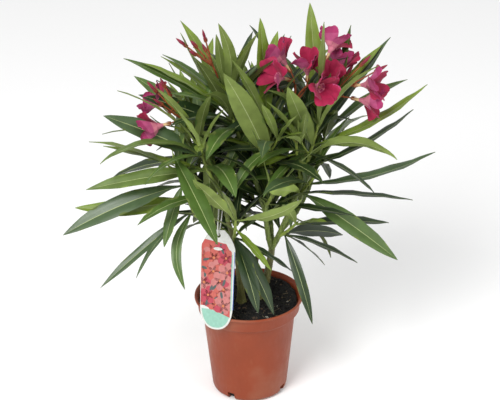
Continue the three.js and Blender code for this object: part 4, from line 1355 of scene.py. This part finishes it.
def flower_parts(seat, opening, seed, reach):
    """Five petals, the funnel, a fringed crown in a calyx, and the anthers."""
    spin = PETAL_TURN * chance(seed, 20)
    for k in range(PETALS):
        turn = math.radians(spin + PETAL_TURN * k)
        seat.put((petal_shape(turn, opening, reach, seed * 5 + k), PETAL_FACES), PETAL_SLOTS)
    tube, faces = lathe_shape(FLOWER_TUBE, TUBE_SIDES)
    pale = [np.mean(tube[list(face), 2]) < TUBE_PALE for face in faces]
    seat.put((tube, faces), [TUBE if below else THROAT for below in pale])
    for k in range(PETALS):
        turn = math.radians(spin + PETAL_TURN * k + PETAL_TURN / 2)
        for part in (-1, 0, 1):
            seat.put(fringe_shape(turn, part), PETAL_BACK)
        seat.put(sepal_shape(turn + SEPAL_TURN, *FLOWER_SEPAL), CALYX)
    seat.put(lathe_shape(ANTHERS, ANTHER_SIDES), TUBE)


def bud_parts(seat, size, seed):
    """A rolled, pointed bud in its calyx."""
    girth = BUD_GIRTH * mix(0.8, 1.1, chance(seed, 61))
    profile = [(radius * girth, level * size) for radius, level in BUD_PROFILE]
    seat.put(lathe_shape(profile, BUD_SIDES, BUD_TWIST, BUD_RIDGE), BUD_SKIN)
    for k in range(PETALS):
        seat.put(sepal_shape(math.radians(PETAL_TURN * k), *BUD_SEPAL), CALYX)


def bract_shape(foot, whorls, number, place):
    """A small pointed bract on a flower's stalk."""
    out = direction(360 * chance(whorls, number, place), 40)
    end = foot + out * mix(4, 7, chance(number, 71, place))
    knee = (foot + end) / 2 + Vector((0, 0, 1))
    return tube_shape(Curve(foot, knee, end), 5, 3, lambda share: 0.85 * (1 - share) + 0.08)


def truss_stalks(bundle, mass):
    """The stalk up to the hub, one to each bloom, and the small bracts where they part."""
    hub, tip = out_from(mass["tip"], *mass["truss"]), Vector(mass["tip"])
    knee = (tip + hub) / 2 + Vector((0, 0, TRUSS_ARCH))
    main = Curve(tip, knee, hub)
    shapes = [tube_shape(main, 10, 12, lambda share: mix(TRUSS_FOOT, STALK_FOOT, share))]

    def stalk_radius(share):
        return mix(STALK_BASE, STALK_TIP, share) + STALK_SWELL * max(0, share - 0.85)

    for number, bloom in enumerate(mass["flowers"] + mass["buds"]):
        at = out_from(hub, *bloom["stalk"])
        facing = direction(*bloom["faces"])
        path = Curve(hub, at - facing * (0.4 * bloom["stalk"][2]), at + facing)
        shapes.append(tube_shape(path, 8, 10, stalk_radius))
        for share in BRACTS_AT:
            shapes.append(bract_shape(path.at(share), mass["whorls"], number, int(share * 100)))
    for shape in shapes:
        bundle.add(*shape)


# ---------------------------------------------------------------- the label's shapes


def label_axes():
    """The label's own axes: right, up its length, and out of its face."""
    face = direction(LABEL_HEADING, LABEL_LEAN)
    level = direction(LABEL_HEADING + 90, 0)
    right = Matrix.Rotation(math.radians(LABEL_SIDE), 3, face) @ level
    return Matrix((right, face.cross(right), face)).transposed()


def on_label(right, up, out):
    """The point at these distances along the label's own axes."""
    return label_axes() @ Vector((right, up, out)) + Vector(LABEL_FOOT)


def label_outline(width, top, inset=0.0, steps=9):
    """The label's rounded outline, in its own plane."""
    half, below = width / 2, top - LABEL_CORNER
    runs = [
        ((-half * 0.94, LABEL_CORNER), (-half * 0.8, 0), (0, 0)),
        ((0, 0), (half * 0.8, 0), (half * 0.94, LABEL_CORNER)),
        ((half, below), (half * 0.9, top - LABEL_CORNER / 2), (half * 0.35, top)),
        ((-half * 0.35, top), (-half * 0.9, top - LABEL_CORNER / 2), (-half, below)),
    ]
    outline = []
    for run in runs:
        curve = Curve(*(place + (0,) for place in run))
        outline.extend(curve.at(k / steps) for k in range(steps + 1))
    outline = [p for n, p in enumerate(outline) if (p - outline[n - 1]).length > 1e-6]
    if inset:
        centre = Vector((0, top / 2, 0))
        scale = Vector((1 - inset / half, 1 - inset * 2 / top, 1))
        outline = [centre + (p - centre) * scale for p in outline]
    return outline


# ---------------------------------------------------------------- operators


class OLEANDER_OT_pot(Operator):
    """Turns the nursery pot and cuts its drain notches"""

    bl_idname = "oleander.pot"
    bl_label = "Nursery Pot"

    def execute(self, context):
        pot = context.scene.oleander_pot
        shell = bmesh.new()
        spin_profile(shell, self.profile(pot), POT_STEPS)
        close(shell)
        piece = linked("pot_shell", mesh_of(shell, "pot_shell"))
        cutters = [self.notch(k) for k in range(NOTCHES)]
        for cutter in cutters:
            cut = piece.modifiers.new(cutter.name, "BOOLEAN")
            cut.operation, cut.solver, cut.object = "DIFFERENCE", "EXACT", cutter
        mesh = applied_mesh(piece)
        for thing in [piece, *cutters]:
            bpy.data.objects.remove(thing)
        add_piece("pot_moulded", mesh, [self.plastic(pot)], ["pot"], 34)
        return {"FINISHED"}

    def profile(self, pot):
        """The wall's outline, up the outside from the foot, over the lip and down the inside."""
        top, rim, wall = pot.height / MM, pot.rim_radius / MM, pot.wall / MM
        collar = top - COLLAR_HEIGHT
        neck, lip = collar - COLLAR_BEVEL, top - LIP_HEIGHT

        def side(share):
            return mix(COLLAR_FOOT, COLLAR_TOP, share)

        foot = [
            (0, 0), (POT_FOOT - 3, 0), (POT_FOOT - 0.6, 0), (POT_SHOULDER - 3.4, 1),
            (POT_SHOULDER - 0.8, 3.4), (POT_SHOULDER, 6.5),
            (mix(POT_SHOULDER, POT_NECK, 0.5), (neck + 6.5) / 2), (POT_NECK, neck),
        ]
        band = [
            (POT_NECK + 0.5, neck + 1), (COLLAR_FOOT - 0.7, collar - 0.4),
            (COLLAR_FOOT, collar + 0.8), (side(0.36), collar + 0.4),
            (side(0.4) + 0.5, collar + 1.4), (side(0.9), lip - 1.6), (COLLAR_TOP + 0.6, lip - 0.3),
        ]
        rolled = [
            (rim - 1.0, lip + 0.5), (rim - 0.2, lip + 1.2), (rim, lip + 2), (rim - 0.15, top - 0.9),
            (rim - 0.8, top - 0.2), (rim - 1.5, top), (rim - 2.3, top - 0.3),
        ]
        inner = [
            (COLLAR_TOP - wall + 0.4, lip - 0.6), (COLLAR_TOP - wall, lip - 2.4),
            (COLLAR_FOOT - wall, collar), (POT_NECK - wall, neck),
            (POT_SHOULDER - 3 - wall, POT_FLOOR + 1.2), (POT_SHOULDER - 4 - wall, POT_FLOOR),
            (0, POT_FLOOR),
        ]
        return foot + band + rolled + inner

    def notch(self, number):
        """The block that cuts one drain notch, from inside the foot outward."""
        block = bmesh.new()
        bmesh.ops.create_cube(block, size=1)
        size = (NOTCH_REACH, NOTCH_WIDTH, NOTCH_HEIGHT * 2)
        bmesh.ops.scale(block, vec=size, verts=block.verts)
        middle = (POT_FOOT - 3 + NOTCH_REACH / 2, 0, 0)
        bmesh.ops.translate(block, vec=middle, verts=block.verts)
        turn = Matrix.Rotation(math.radians(NOTCH_HEADING + 360 / NOTCHES * number), 3, "Z")
        bmesh.ops.rotate(block, cent=(0, 0, 0), matrix=turn, verts=block.verts)
        return linked(f"notch_{number}", mesh_of(block, f"notch_{number}"))

    def plastic(self, pot):
        """Matt plastic, rubbed paler in streaks."""
        tint, pale = pot.plastic, pot.plastic_pale
        finish = Finish("pot_plastic", tint, 0.48)
        broad = finish.noise(16, 4)
        rubbed = finish.noise(210, 5, (1, 1, 0.35))
        base = finish.ramp(broad, [(0.32, shade(tint, 0.9)), (0.5, tint), (0.7, pale)])
        scuffed = finish.blend(finish.range(rubbed, 0.0, 0.35, 0.56, 0.8), base, pale)
        finish.use(Base_Color=scuffed, Roughness=finish.range(rubbed, 0.4, 0.58))
        finish.use(Coat_Weight=0.05, Coat_Roughness=0.4, Specular_IOR_Level=0.25)
        finish.bump(finish.noise(900, 3), 0.12, 0.0004)
        return finish.material


class OLEANDER_OT_compost(Operator):
    """Fills the pot with moist compost and strews crumbs on it"""

    bl_idname = "oleander.compost"
    bl_label = "Compost"

    def execute(self, context):
        pot = context.scene.oleander_pot
        collar = pot.height / MM - COLLAR_HEIGHT
        reach = COLLAR_FOOT - pot.wall / MM - SOIL_SLACK
        crust = SOIL_TOP - SOIL_CRUST
        profile = [
            (0, SOIL_FLOOR), (SOIL_FOOT, SOIL_FLOOR), (POT_NECK - 2.4, collar - COLLAR_BEVEL),
            (reach, collar), (reach, SOIL_TOP - 1),
        ]
        profile += [(reach * share, crust) for share in np.linspace(0.97, 0.03, 44)] + [(0, crust)]
        bm = bmesh.new()
        spin_profile(bm, profile, SOIL_STEPS)
        close(bm)
        for vert in bm.verts:
            if vert.co.z > SOIL_TOP - 2:
                vert.co.z += self.heap(vert.co.x, vert.co.y)
                vert.co.z += sway(SOIL_ROUGH, int(vert.co.x * 7) + 900, int(vert.co.y * 7) + 900)
        moist = self.earth("compost_crumb", pot.compost, 1.0)
        finishes = [
            moist,
            self.earth("compost_fibre", (0.13, 0.1, 0.06), 0.9),
            self.earth("compost_bark", (0.06, 0.034, 0.018), 0.85),
            self.earth("compost_grit", (0.25, 0.24, 0.2), 0.8),
        ]
        add_piece("compost_fill", mesh_of(bm, "compost_fill"), [moist], ["soil"], 60)
        crumbs = Bundle("compost_crumbs", finishes)
        lump = shape_of("lump", lambda bm: bmesh.ops.create_icosphere(bm, subdivisions=1, radius=1))
        for number in range(pot.crumbs):
            self.crumb(crumbs, number, reach, *lump)
        crumbs.piece("compost", sharp=40)
        return {"FINISHED"}

    def crumb(self, crumbs, number, reach, lump, faces):
        """One crumb where luck drops it: most are compost, and some are fibre, bark or grit."""
        radius = reach * math.sqrt(chance(number, 1)) * 0.97
        turn, spin = 2 * math.pi * chance(number, 2), 6.3 * chance(number, 8)
        size = mix(*CRUMB_SIZE, chance(number, 3) ** 2.2)
        kind = 0 if number % 7 else 1 + int(2.2 * chance(number, 4))
        stretch = np.array([mix(*CRUMB_STRETCH[n], chance(number, 5 + n)) for n in range(3)])
        if kind == 1:
            stretch *= np.array(FIBRE_STRETCH)
        turned = np.array(Matrix.Rotation(spin, 3, "Z"))
        x, y = radius * math.cos(turn), radius * math.sin(turn)
        place = np.array([x, y, SOIL_TOP + 0.1 + self.heap(x, y)])
        wobble = 1 + np.array([sway(0.3, number, n, 9) for n in range(len(lump))])
        points = (lump * wobble[:, None] * stretch * size) @ turned.T + place
        crumbs.add(points, faces, kind)

    def heap(self, x, y):
        """Height of the uneven compost, which lies higher against the back of the pot."""
        outward, back = (math.hypot(x, y) - 30) / 25, (y + 25) / 40
        banked = max(0.0, min(1.0, outward)) * max(0.0, min(1.0, back))
        waves = 0.9 * math.sin(x * 0.31 + 1.3) * math.cos(y * 0.27)
        waves += 0.5 * math.sin(x * 0.9 + y * 0.7)
        return HEAP * banked**1.3 + waves

    def earth(self, name, tint, roughness):
        """Coarse, grainy earth."""
        finish = Finish(name, tint, roughness)
        grain = finish.noise(380, 6)
        finish.use(Base_Color=finish.tinted(grain, tint, (0.3, 0.5), (0.5, 1), (0.72, 2.2)))
        finish.bump(grain, 0.9, 0.0015)
        return finish.material


class OLEANDER_OT_limbs(Operator):
    """Gives the stems and boughs their bark, with rings of old leaf scars"""

    bl_idname = "oleander.limbs"
    bl_label = "Stems and Boughs"

    def execute(self, context):
        bark = context.scene.oleander_bark
        stem = bark_finish("bark_stem", bark.stem, (0.33, 0.3, 0.15))
        young = bark_finish("bark_bough", bark.young, (0.33, 0.35, 0.14))
        wound = bark_finish("cut_wood", (0.1, 0.06, 0.03), (0.2, 0.14, 0.08))
        for number, (name, limb) in enumerate(LIMBS.items()):
            finish = stem if limb["rooted"] else young
            bundle = Bundle(f"bark_{name}", [wound if name == "cut_stub" else finish])
            bundle.add(*self.shape(number, name, bark))
            bundle.piece("bark", [name])
        return {"FINISHED"}

    def shape(self, number, name, bark):
        """A limb with its rings, scars and ridges, cut level at the compost if it is rooted."""
        radii, rooted = LIMBS[name]["radii"], LIMBS[name]["rooted"]
        curve = limb_curve(name)
        run = curve.length()
        gap, relief = bark.joint_gap / MM, bark.relief / MM

        def radius_at(share):
            flare = ROOT_FLARE_EXTRA * math.exp(-share * run / ROOT_FLARE_HEIGHT) if rooted else 0
            return mix(radii[0], radii[1], share) + flare

        def bump_at(share, angle):
            along = share * run
            joint = round(along / gap)
            near = abs(along / gap - joint) * gap
            ring = RING_HEIGHT * math.exp(-((near / RING_WIDTH) ** 2))
            scar = max(0.0, math.cos(1.5 * (angle - joint * math.pi / 3)) ** 2 - 0.4)
            waves = math.sin(9 * angle + 0.11 * along)
            waves += 0.7 * math.sin(17 * angle - 0.23 * along + number)
            knobs = sway(2, number, int(along), int(angle * 9))
            end = min(1, 6 * min(share, 1 - share))
            return (ring * (0.5 + scar) + relief * (waves + knobs)) * end

        rings = max(24, int(run / BARK_RING))
        points, faces = tube_shape(curve, BARK_SIDES, rings, radius_at, bump_at)
        if rooted:
            low, sunk = SOIL_TOP + 4, SOIL_TOP - 2
            points = [(x, y, max(z, sunk) if z < low else z) for x, y, z in points]
        if name == "cut_stub":
            points = [(x, y, z + self.frayed(x, y, z, curve.tip.z)) for x, y, z in points]
        return points, faces

    def frayed(self, x, y, z, top):
        """The roughness of the stub's cut end."""
        if z <= top - 2:
            return 0
        return 1.5 * (chance(int(x * 3) + 99, int(y * 3) + 99) - 0.3)


class OLEANDER_OT_twigs(Operator):
    """Grows the green stems of every mass of leaves"""

    bl_idname = "oleander.twigs"
    bl_label = "Green Twigs"

    def execute(self, context):
        bark = context.scene.oleander_bark
        green = bark_finish("bark_twig", bark.twig, (0.38, 0.42, 0.16))
        for plant in plants():
            name = plant["mass"]["name"]
            bundle = Bundle(f"twigs_{name}", [green])
            for stem, foot, tip in plant["stems"]:
                bundle.add(*self.shape(stem, foot, tip))
            bundle.piece("twig", [f"shoot_{name}"])
        return {"FINISHED"}

    def shape(self, stem, foot, tip):
        """A stem that swells at each whorl and ends in a pointed bud."""
        path, curve = stem_path(stem), shoot_curve(stem)
        run = path.length()
        joints = []
        if stem["whorls"] > 1:
            joints = [whorl_share(curve, stem, w) * JOINT_DRAW for w in range(stem["whorls"])]

        def radius_at(share):
            swell = sum(
                JOINT_SWELL * math.exp(-(((share - joint) * run / JOINT_WIDTH) ** 2))
                for joint in joints
            )
            return (mix(foot, tip, share) + swell) * min(1, (1 - share) * run / SHOOT_BUD + 0.06)

        return tube_shape(path, TWIG_SIDES, max(8, int(run / TWIG_RING)), radius_at)


class OLEANDER_OT_leaves(Operator):
    """Sets every leaf on its whorl"""

    bl_idname = "oleander.leaves"
    bl_label = "Leaves"

    def execute(self, context):
        settings = context.scene.oleander_leaf
        finishes = make_leaf_finishes(settings)
        for plant in plants():
            name = plant["mass"]["name"]
            bundle = Bundle(f"leaves_{name}", finishes)
            for number, leaf in enumerate(plant["leaves"]):
                grid = PLAIN if leaf["by_rule"] else FINE
                points = leaf_shape(leaf, grid, settings, plant["index"] * 100 + number)
                bundle.add(points, grid.faces, grid.slots(leaf["tone"]))
            bundle.piece("foliage", [f"shoot_{name}"], 60)
        return {"FINISHED"}


class OLEANDER_OT_blossom(Operator):
    """Makes the flowers, the buds and their stalks"""

    bl_idname = "oleander.blossom"
    bl_label = "Blossom"

    def execute(self, context):
        settings = context.scene.oleander_blossom
        finishes = [
            petal_finish("petal_face", settings.petal),
            petal_finish("petal_back", settings.petal_back),
            petal_finish("petal_throat", settings.throat),
            petal_finish("flower_tube", settings.tube),
            petal_finish("bud_skin", settings.bud, 0.5),
            petal_finish("calyx", shade(settings.stalk, 0.9), 0.5),
            petal_finish("petal_flush", settings.flush),
        ]
        stalk = petal_finish("flower_stalk", settings.stalk, 0.5)
        for plant in plants():
            if plant["mass"]["truss"]:
                stalks = Bundle(f"stalks_{plant['mass']['name']}", [stalk])
                truss_stalks(stalks, plant["mass"])
                stalks.piece("twig")
                self.blooms(plant["mass"], plant["index"], finishes, settings)
        return {"FINISHED"}

    def blooms(self, mass, index, finishes, settings):
        """The flowers and buds that stand round the hub of a mass's truss."""
        hub = out_from(mass["tip"], *mass["truss"])
        reach = settings.mouth / FULL_REACH
        blossom = Bundle(f"blossom_{mass['name']}", finishes)
        for number, bloom in enumerate(mass["flowers"]):
            seat = Seat(blossom, out_from(hub, *bloom["stalk"]), *bloom["faces"])
            flower_parts(seat, bloom["opening"], index * 20 + number, reach)
        for number, bloom in enumerate(mass["buds"]):
            seat = Seat(blossom, out_from(hub, *bloom["stalk"]), *bloom["faces"])
            size = settings.bud_length / MM * bloom["opening"]
            bud_parts(seat, size * mix(0.85, 1.0, chance(index, number, 62)), number + 7)
        blossom.piece("blossom", [f"shoot_{mass['name']}"], 60)


class OLEANDER_OT_label(Operator):
    """Cuts the hanging label and lays its printed fields on it"""

    bl_idname = "oleander.label"
    bl_label = "Label"

    def execute(self, context):
        label = context.scene.oleander_label
        width, top = label.width / MM, label.height / MM
        half, face = width / 2, LABEL_THICKNESS
        card = self.printed("label_card", label.card, 0.38)
        band = self.printed("label_band", label.band)
        edge = self.printed("label_edge", label.edge)
        turns = np.linspace(0, 2 * math.pi, 24, endpoint=False)
        centre = Vector((0, top - LABEL_HOLE_DROP, 0))
        hole = [round_z(turn, LABEL_HOLE, 0) + centre for turn in turns]
        self.plate("label_plate", label_outline(width, top), 0, face, card, ["label"], hole)
        foot = [p for p in label_outline(width, top, BAND_INSET) if p.y < BAND_HIGH]
        foot.sort(key=lambda p: -math.atan2(p.y - BAND_HIGH, p.x))
        self.plate("label_foot_band", foot, face, PRINT, band)
        self.strip("label_side_band", (half - 4.0, half - 2.6), (26, top - 30), face, band)
        self.strip("label_edge_line", (half - 1.0, half - 0.3), (27, top - 26), face, edge)
        field = [Vector((x, y, 0)) for x, y in (
            (1 - half + 0.8, 31), (half - 4.4, 17), (half - 4.2, top - 30), (half - 12, top - 17),
            (1 - half + 4, top - 13), (1 - half, top - 20),
        )]
        picture = self.printed("label_picture", label.picture)
        self.plate("label_picture_field", field, face, PICTURE, picture)
        self.motif(field, face + PICTURE)
        patch = Bundle("label_slot_patch", [card])
        spot, faces = spot_shape()
        centre = Vector((0, top - SLOT_DROP, face + SLOT_PROUD))
        places = [centre + Vector((a * SLOT_ACROSS, b * SLOT_UP, c)) for a, b, c in spot]
        patch.add([tuple(on_label(*place)) for place in places], faces)
        patch.piece("label")
        return {"FINISHED"}

    def strip(self, name, sides, ends, out, finish):
        """A thin printed strip."""
        (left, right), (low, high) = sides, ends
        corners = [(left, low), (right, low), (right, high), (left, high)]
        self.plate(name, [Vector((x, y, 0)) for x, y in corners], out, PRINT, finish)

    def plate(self, name, outline, out, thickness, finish, replaces=(), hole=()):
        """A thin plate in the label's plane, with an optional hole."""
        bm = bmesh.new()
        edges = []
        for ring in [outline, hole] if hole else [outline]:
            verts = [bm.verts.new((p.x, p.y, out)) for p in ring]
            edges += [bm.edges.new((a, b)) for a, b in zip(verts, verts[1:] + verts[:1])]
        filled = bmesh.ops.triangle_fill(bm, edges=edges, use_beauty=True)
        faces = [g for g in filled["geom"] if isinstance(g, bmesh.types.BMFace)]
        grown = bmesh.ops.extrude_face_region(bm, geom=faces)
        moved = [g for g in grown["geom"] if isinstance(g, bmesh.types.BMVert)]
        bmesh.ops.translate(bm, vec=(0, 0, thickness), verts=moved)
        bmesh.ops.recalc_face_normals(bm, faces=bm.faces)
        place = label_axes().to_4x4()
        place.translation = Vector(LABEL_FOOT)
        bmesh.ops.transform(bm, matrix=place, verts=bm.verts)
        add_piece(name, mesh_of(bm, name), [finish], replaces, 30)

    def motif(self, field, out):
        """Plain round-petalled blossoms that lie over one another, with dark leaves between."""
        finishes = [
            self.printed("label_petal_coral", (0.44, 0.09, 0.07)),
            self.printed("label_petal_rose", (0.44, 0.15, 0.14)),
            self.printed("label_petal_red", (0.38, 0.04, 0.065)),
            self.printed("label_leaf", (0.06, 0.085, 0.08)),
            self.printed("label_eye", (0.5, 0.16, 0.06)),
        ]
        low_left, low_right, right_top, shoulder, top_left = field[:5]
        left, right = low_left.x, right_top.x
        bundle = Bundle("label_blossoms", finishes)
        for number in range(MOTIF_ROWS * MOTIF_COLUMNS):
            row, column = divmod(number * 7 % (MOTIF_ROWS * MOTIF_COLUMNS), MOTIF_COLUMNS)
            across = (column + 0.5 * (row % 2) + 0.4 * chance(number, 81)) / (MOTIF_COLUMNS - 0.3)
            x = mix(left + 3, right - 3, across)
            low = mix(low_left.y, low_right.y, (x - left) / (right - left)) + 0.5
            slope = (right_top.y - shoulder.y) * max(0, (x - shoulder.x) / 8)
            high = min(top_left.y, shoulder.y + slope) - 0.5
            y = mix(low + 4, high - 4, (row + 0.15 + 0.7 * chance(number, 82)) / MOTIF_ROWS)
            spots = self.blossom(number, x, y, mix(*MOTIF_SIZE, chance(number, 83)))
            for place, radii, angle, layer, slot in spots:
                level = out + 0.006 * number + layer
                self.disc(bundle, place, radii, angle, level, slot, (left, right), (low, high))
        bundle.piece("label")

    def blossom(self, number, x, y, size):
        """The oval spots of one printed blossom: two leaves, five petals and an eye."""
        spin, tone = 6.28 * chance(number, 84), int(3 * chance(number, 85))
        spots = []

        def spot(angle, reach, radii, layer, slot):
            place = x + math.cos(angle) * reach, y + math.sin(angle) * reach
            spots.append((place, [size * radius for radius in radii], angle, layer, slot))

        for k in range(2):
            reach = size * mix(0.8, 1.05, chance(number, 86, k))
            spot(spin + 2.9 * k + 0.6, reach, (0.34, 0.13), 0.003, 3)
        for k in range(PETALS):
            turn = spin + 2 * math.pi * k / PETALS
            spot(turn, size * 0.5, (0.5, 0.4), 0, (tone + (k == 2)) % 3)
        spot(0, 0, (0.13, 0.13), 0.004, 4)
        return spots

    def disc(self, bundle, place, radii, angle, out, slot, sides, ends):
        """A flat oval spot, kept inside the field."""
        (left, right), (low, high) = sides, ends
        spot, faces = spot_shape()
        points = []
        for a, b, level in spot * np.array([*radii, 1]):
            x = place[0] + a * math.cos(angle) - b * math.sin(angle)
            y = place[1] + a * math.sin(angle) + b * math.cos(angle)
            inside = min(right, max(left, x)), min(high, max(low, y))
            points.append(tuple(on_label(*inside, out + level)))
        bundle.add(points, faces, slot)

    def printed(self, name, tint, roughness=0.35):
        """Glossy card or print."""
        finish = Finish(name, tint, roughness)
        grain = finish.noise(300, 3)
        finish.use(Base_Color=finish.tinted(grain, tint, (0.35, 0.93), (0.65, 1.05)))
        gloss = finish.range(grain, roughness - 0.05, roughness + 0.06)
        finish.use(Roughness=gloss, Coat_Weight=0.2)
        return finish.material


class OLEANDER_OT_label_string(Operator):
    """Loops the label's white string through its hole and round the bough"""

    bl_idname = "oleander.label_string"
    bl_label = "Label String"

    def execute(self, context):
        label = context.scene.oleander_label
        line = bpy.data.curves.new("label_string_line", "CURVE")
        line.dimensions = "3D"
        line.bevel_depth = STRING_RADIUS * MM
        line.bevel_resolution = 3
        line.resolution_u = 12
        route = self.route(label.height / MM - LABEL_HOLE_DROP)
        spline = line.splines.new("BEZIER")
        spline.bezier_points.add(len(route) - 1)
        spline.use_cyclic_u = True
        for point, place in zip(spline.bezier_points, route):
            point.co = place * MM
            point.handle_left_type = point.handle_right_type = "AUTO"
        holder = linked("label_string_line", line)
        mesh = applied_mesh(holder)
        bpy.data.objects.remove(holder)
        add_piece("label_string", mesh, [self.cotton(label)], ["label_loop"], 60)
        return {"FINISHED"}

    def route(self, hole):
        """Through the hole, up before the label's face, over the bough and down behind it."""
        held = limb_curve(LOOP_BOUGH).at(LOOP_AT)
        past = hole + LABEL_HOLE_DROP - 1

        def at_bough(x, y, z):
            return Vector((x, y, z)) * LOOP_GRIP + held

        return [
            on_label(0, hole, LABEL_THICKNESS / 2), on_label(0, past, LABEL_THICKNESS + LOOP_STAND),
            at_bough(-0.7, -1.2, -2), at_bough(-1.15, 0, -0.2), at_bough(0, 1, 0.3),
            at_bough(1.15, 0, -0.2), at_bough(0.7, -1.2, -2), on_label(0, past, -LOOP_STAND),
        ]

    def cotton(self, label):
        """White string with a fine twist."""
        finish = Finish("label_string_white", label.string, 0.45)
        twist = finish.noise(900, 3, (1, 1, 2.5))
        finish.use(Base_Color=finish.tinted(twist, label.string, (0.3, 0.8), (0.7, 1)))
        finish.bump(twist, 0.6, 0.0004)
        return finish.material


class OLEANDER_OT_stage(Operator):
    """Lays the pale floor, sets soft studio light and places the camera"""

    bl_idname = "oleander.stage"
    bl_label = "Stage"

    def execute(self, context):
        stage, scene = context.scene.oleander_stage, context.scene
        bm = bmesh.new()
        bmesh.ops.create_grid(bm, x_segments=8, y_segments=8, size=FLOOR_HALF)
        mesh = bpy.data.meshes.new("studio_floor")
        bm.to_mesh(mesh)
        bm.free()
        floor = linked("studio_floor", mesh)
        finish = Finish("studio_floor_paint", stage.floor, 0.9)
        finish.use(Specular_IOR_Level=0.1)
        mesh.materials.append(finish.material)
        world = bpy.data.worlds.new("studio_sky")
        world.use_nodes = True
        sky = world.node_tree.nodes["Background"]
        sky.inputs["Color"].default_value = (1, 1, 1, 1)
        sky.inputs["Strength"].default_value = stage.sky
        scene.world = world
        self.lamp("key_light", *KEY_LAMP, stage.key)
        self.lamp("fill_light", *FILL_LAMP, stage.fill)
        scene.view_settings.view_transform = "Standard"
        scene.camera = self.camera()
        return {"FINISHED"}

    def camera(self):
        """Looks down a little on the plant from the front, and rolls a little to one side."""
        lens = bpy.data.cameras.new("camera")
        lens.lens, lens.sensor_width = CAMERA_LENS, CAMERA_SENSOR
        camera = linked("camera", lens)
        rise, roll = math.radians(CAMERA_RISE), math.radians(CAMERA_ROLL)
        back = Vector((0, -math.cos(rise), math.sin(rise)))
        level = Vector((1, 0, 0))
        right = level * math.cos(roll) + back.cross(level) * math.sin(roll)
        place = Matrix((right, back.cross(right), back)).transposed().to_4x4()
        place.translation = Vector(CAMERA_TARGET) + back * CAMERA_DISTANCE
        camera.matrix_world = place
        return camera

    def lamp(self, name, place, size, power):
        """A round lamp, turned to the plant."""
        light = bpy.data.lights.new(name, "AREA")
        light.shape, light.size, light.energy = "DISK", size, power
        lamp = linked(name, light)
        lamp.location = place
        aim = Vector(LAMP_TARGET) - Vector(place)
        lamp.rotation_euler = aim.to_track_quat("-Z", "Y").to_euler()


class OLEANDER_PT_sidebar(Panel):
    """Lists the pieces of the potted oleander"""

    bl_idname = "OLEANDER_PT_sidebar"
    bl_label = "Potted Oleander"
    bl_space_type = "VIEW_3D"
    bl_region_type = "UI"
    bl_category = "Oleander"

    def draw(self, context):
        for operator in OPERATORS:
            self.layout.operator(operator.bl_idname)
        for name in SETTINGS:
            settings = getattr(context.scene, name)
            box = self.layout.box()
            for key in settings.bl_rna.properties.keys():
                if key not in ("rna_type", "name"):
                    box.prop(settings, key)


OPERATORS = (
    OLEANDER_OT_stage, OLEANDER_OT_pot, OLEANDER_OT_compost, OLEANDER_OT_limbs, OLEANDER_OT_twigs,
    OLEANDER_OT_leaves, OLEANDER_OT_blossom, OLEANDER_OT_label, OLEANDER_OT_label_string,
)
SETTINGS = {
    "oleander_pot": OleanderPotSettings, "oleander_bark": OleanderBarkSettings,
    "oleander_leaf": OleanderLeafSettings, "oleander_blossom": OleanderBlossomSettings,
    "oleander_label": OleanderLabelSettings, "oleander_stage": OleanderStageSettings,
}


def register():
    for settings in SETTINGS.values():
        bpy.utils.register_class(settings)
    for operator in OPERATORS:
        bpy.utils.register_class(operator)
    bpy.utils.register_class(OLEANDER_PT_sidebar)
    for name, settings in SETTINGS.items():
        setattr(bpy.types.Scene, name, PointerProperty(type=settings))


def unregister():
    for name in SETTINGS:
        delattr(bpy.types.Scene, name)
    bpy.utils.unregister_class(OLEANDER_PT_sidebar)
    for operator in reversed(OPERATORS):
        bpy.utils.unregister_class(operator)
    for settings in reversed(list(SETTINGS.values())):
        bpy.utils.unregister_class(settings)


def main():
    register()
    bpy.ops.oleander.stage()
    bpy.ops.oleander.pot()
    bpy.ops.oleander.compost()
    bpy.ops.oleander.limbs()
    bpy.ops.oleander.twigs()
    bpy.ops.oleander.leaves()
    bpy.ops.oleander.blossom()
    bpy.ops.oleander.label()
    bpy.ops.oleander.label_string()
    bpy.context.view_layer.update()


if __name__ == "__main__":
    main()
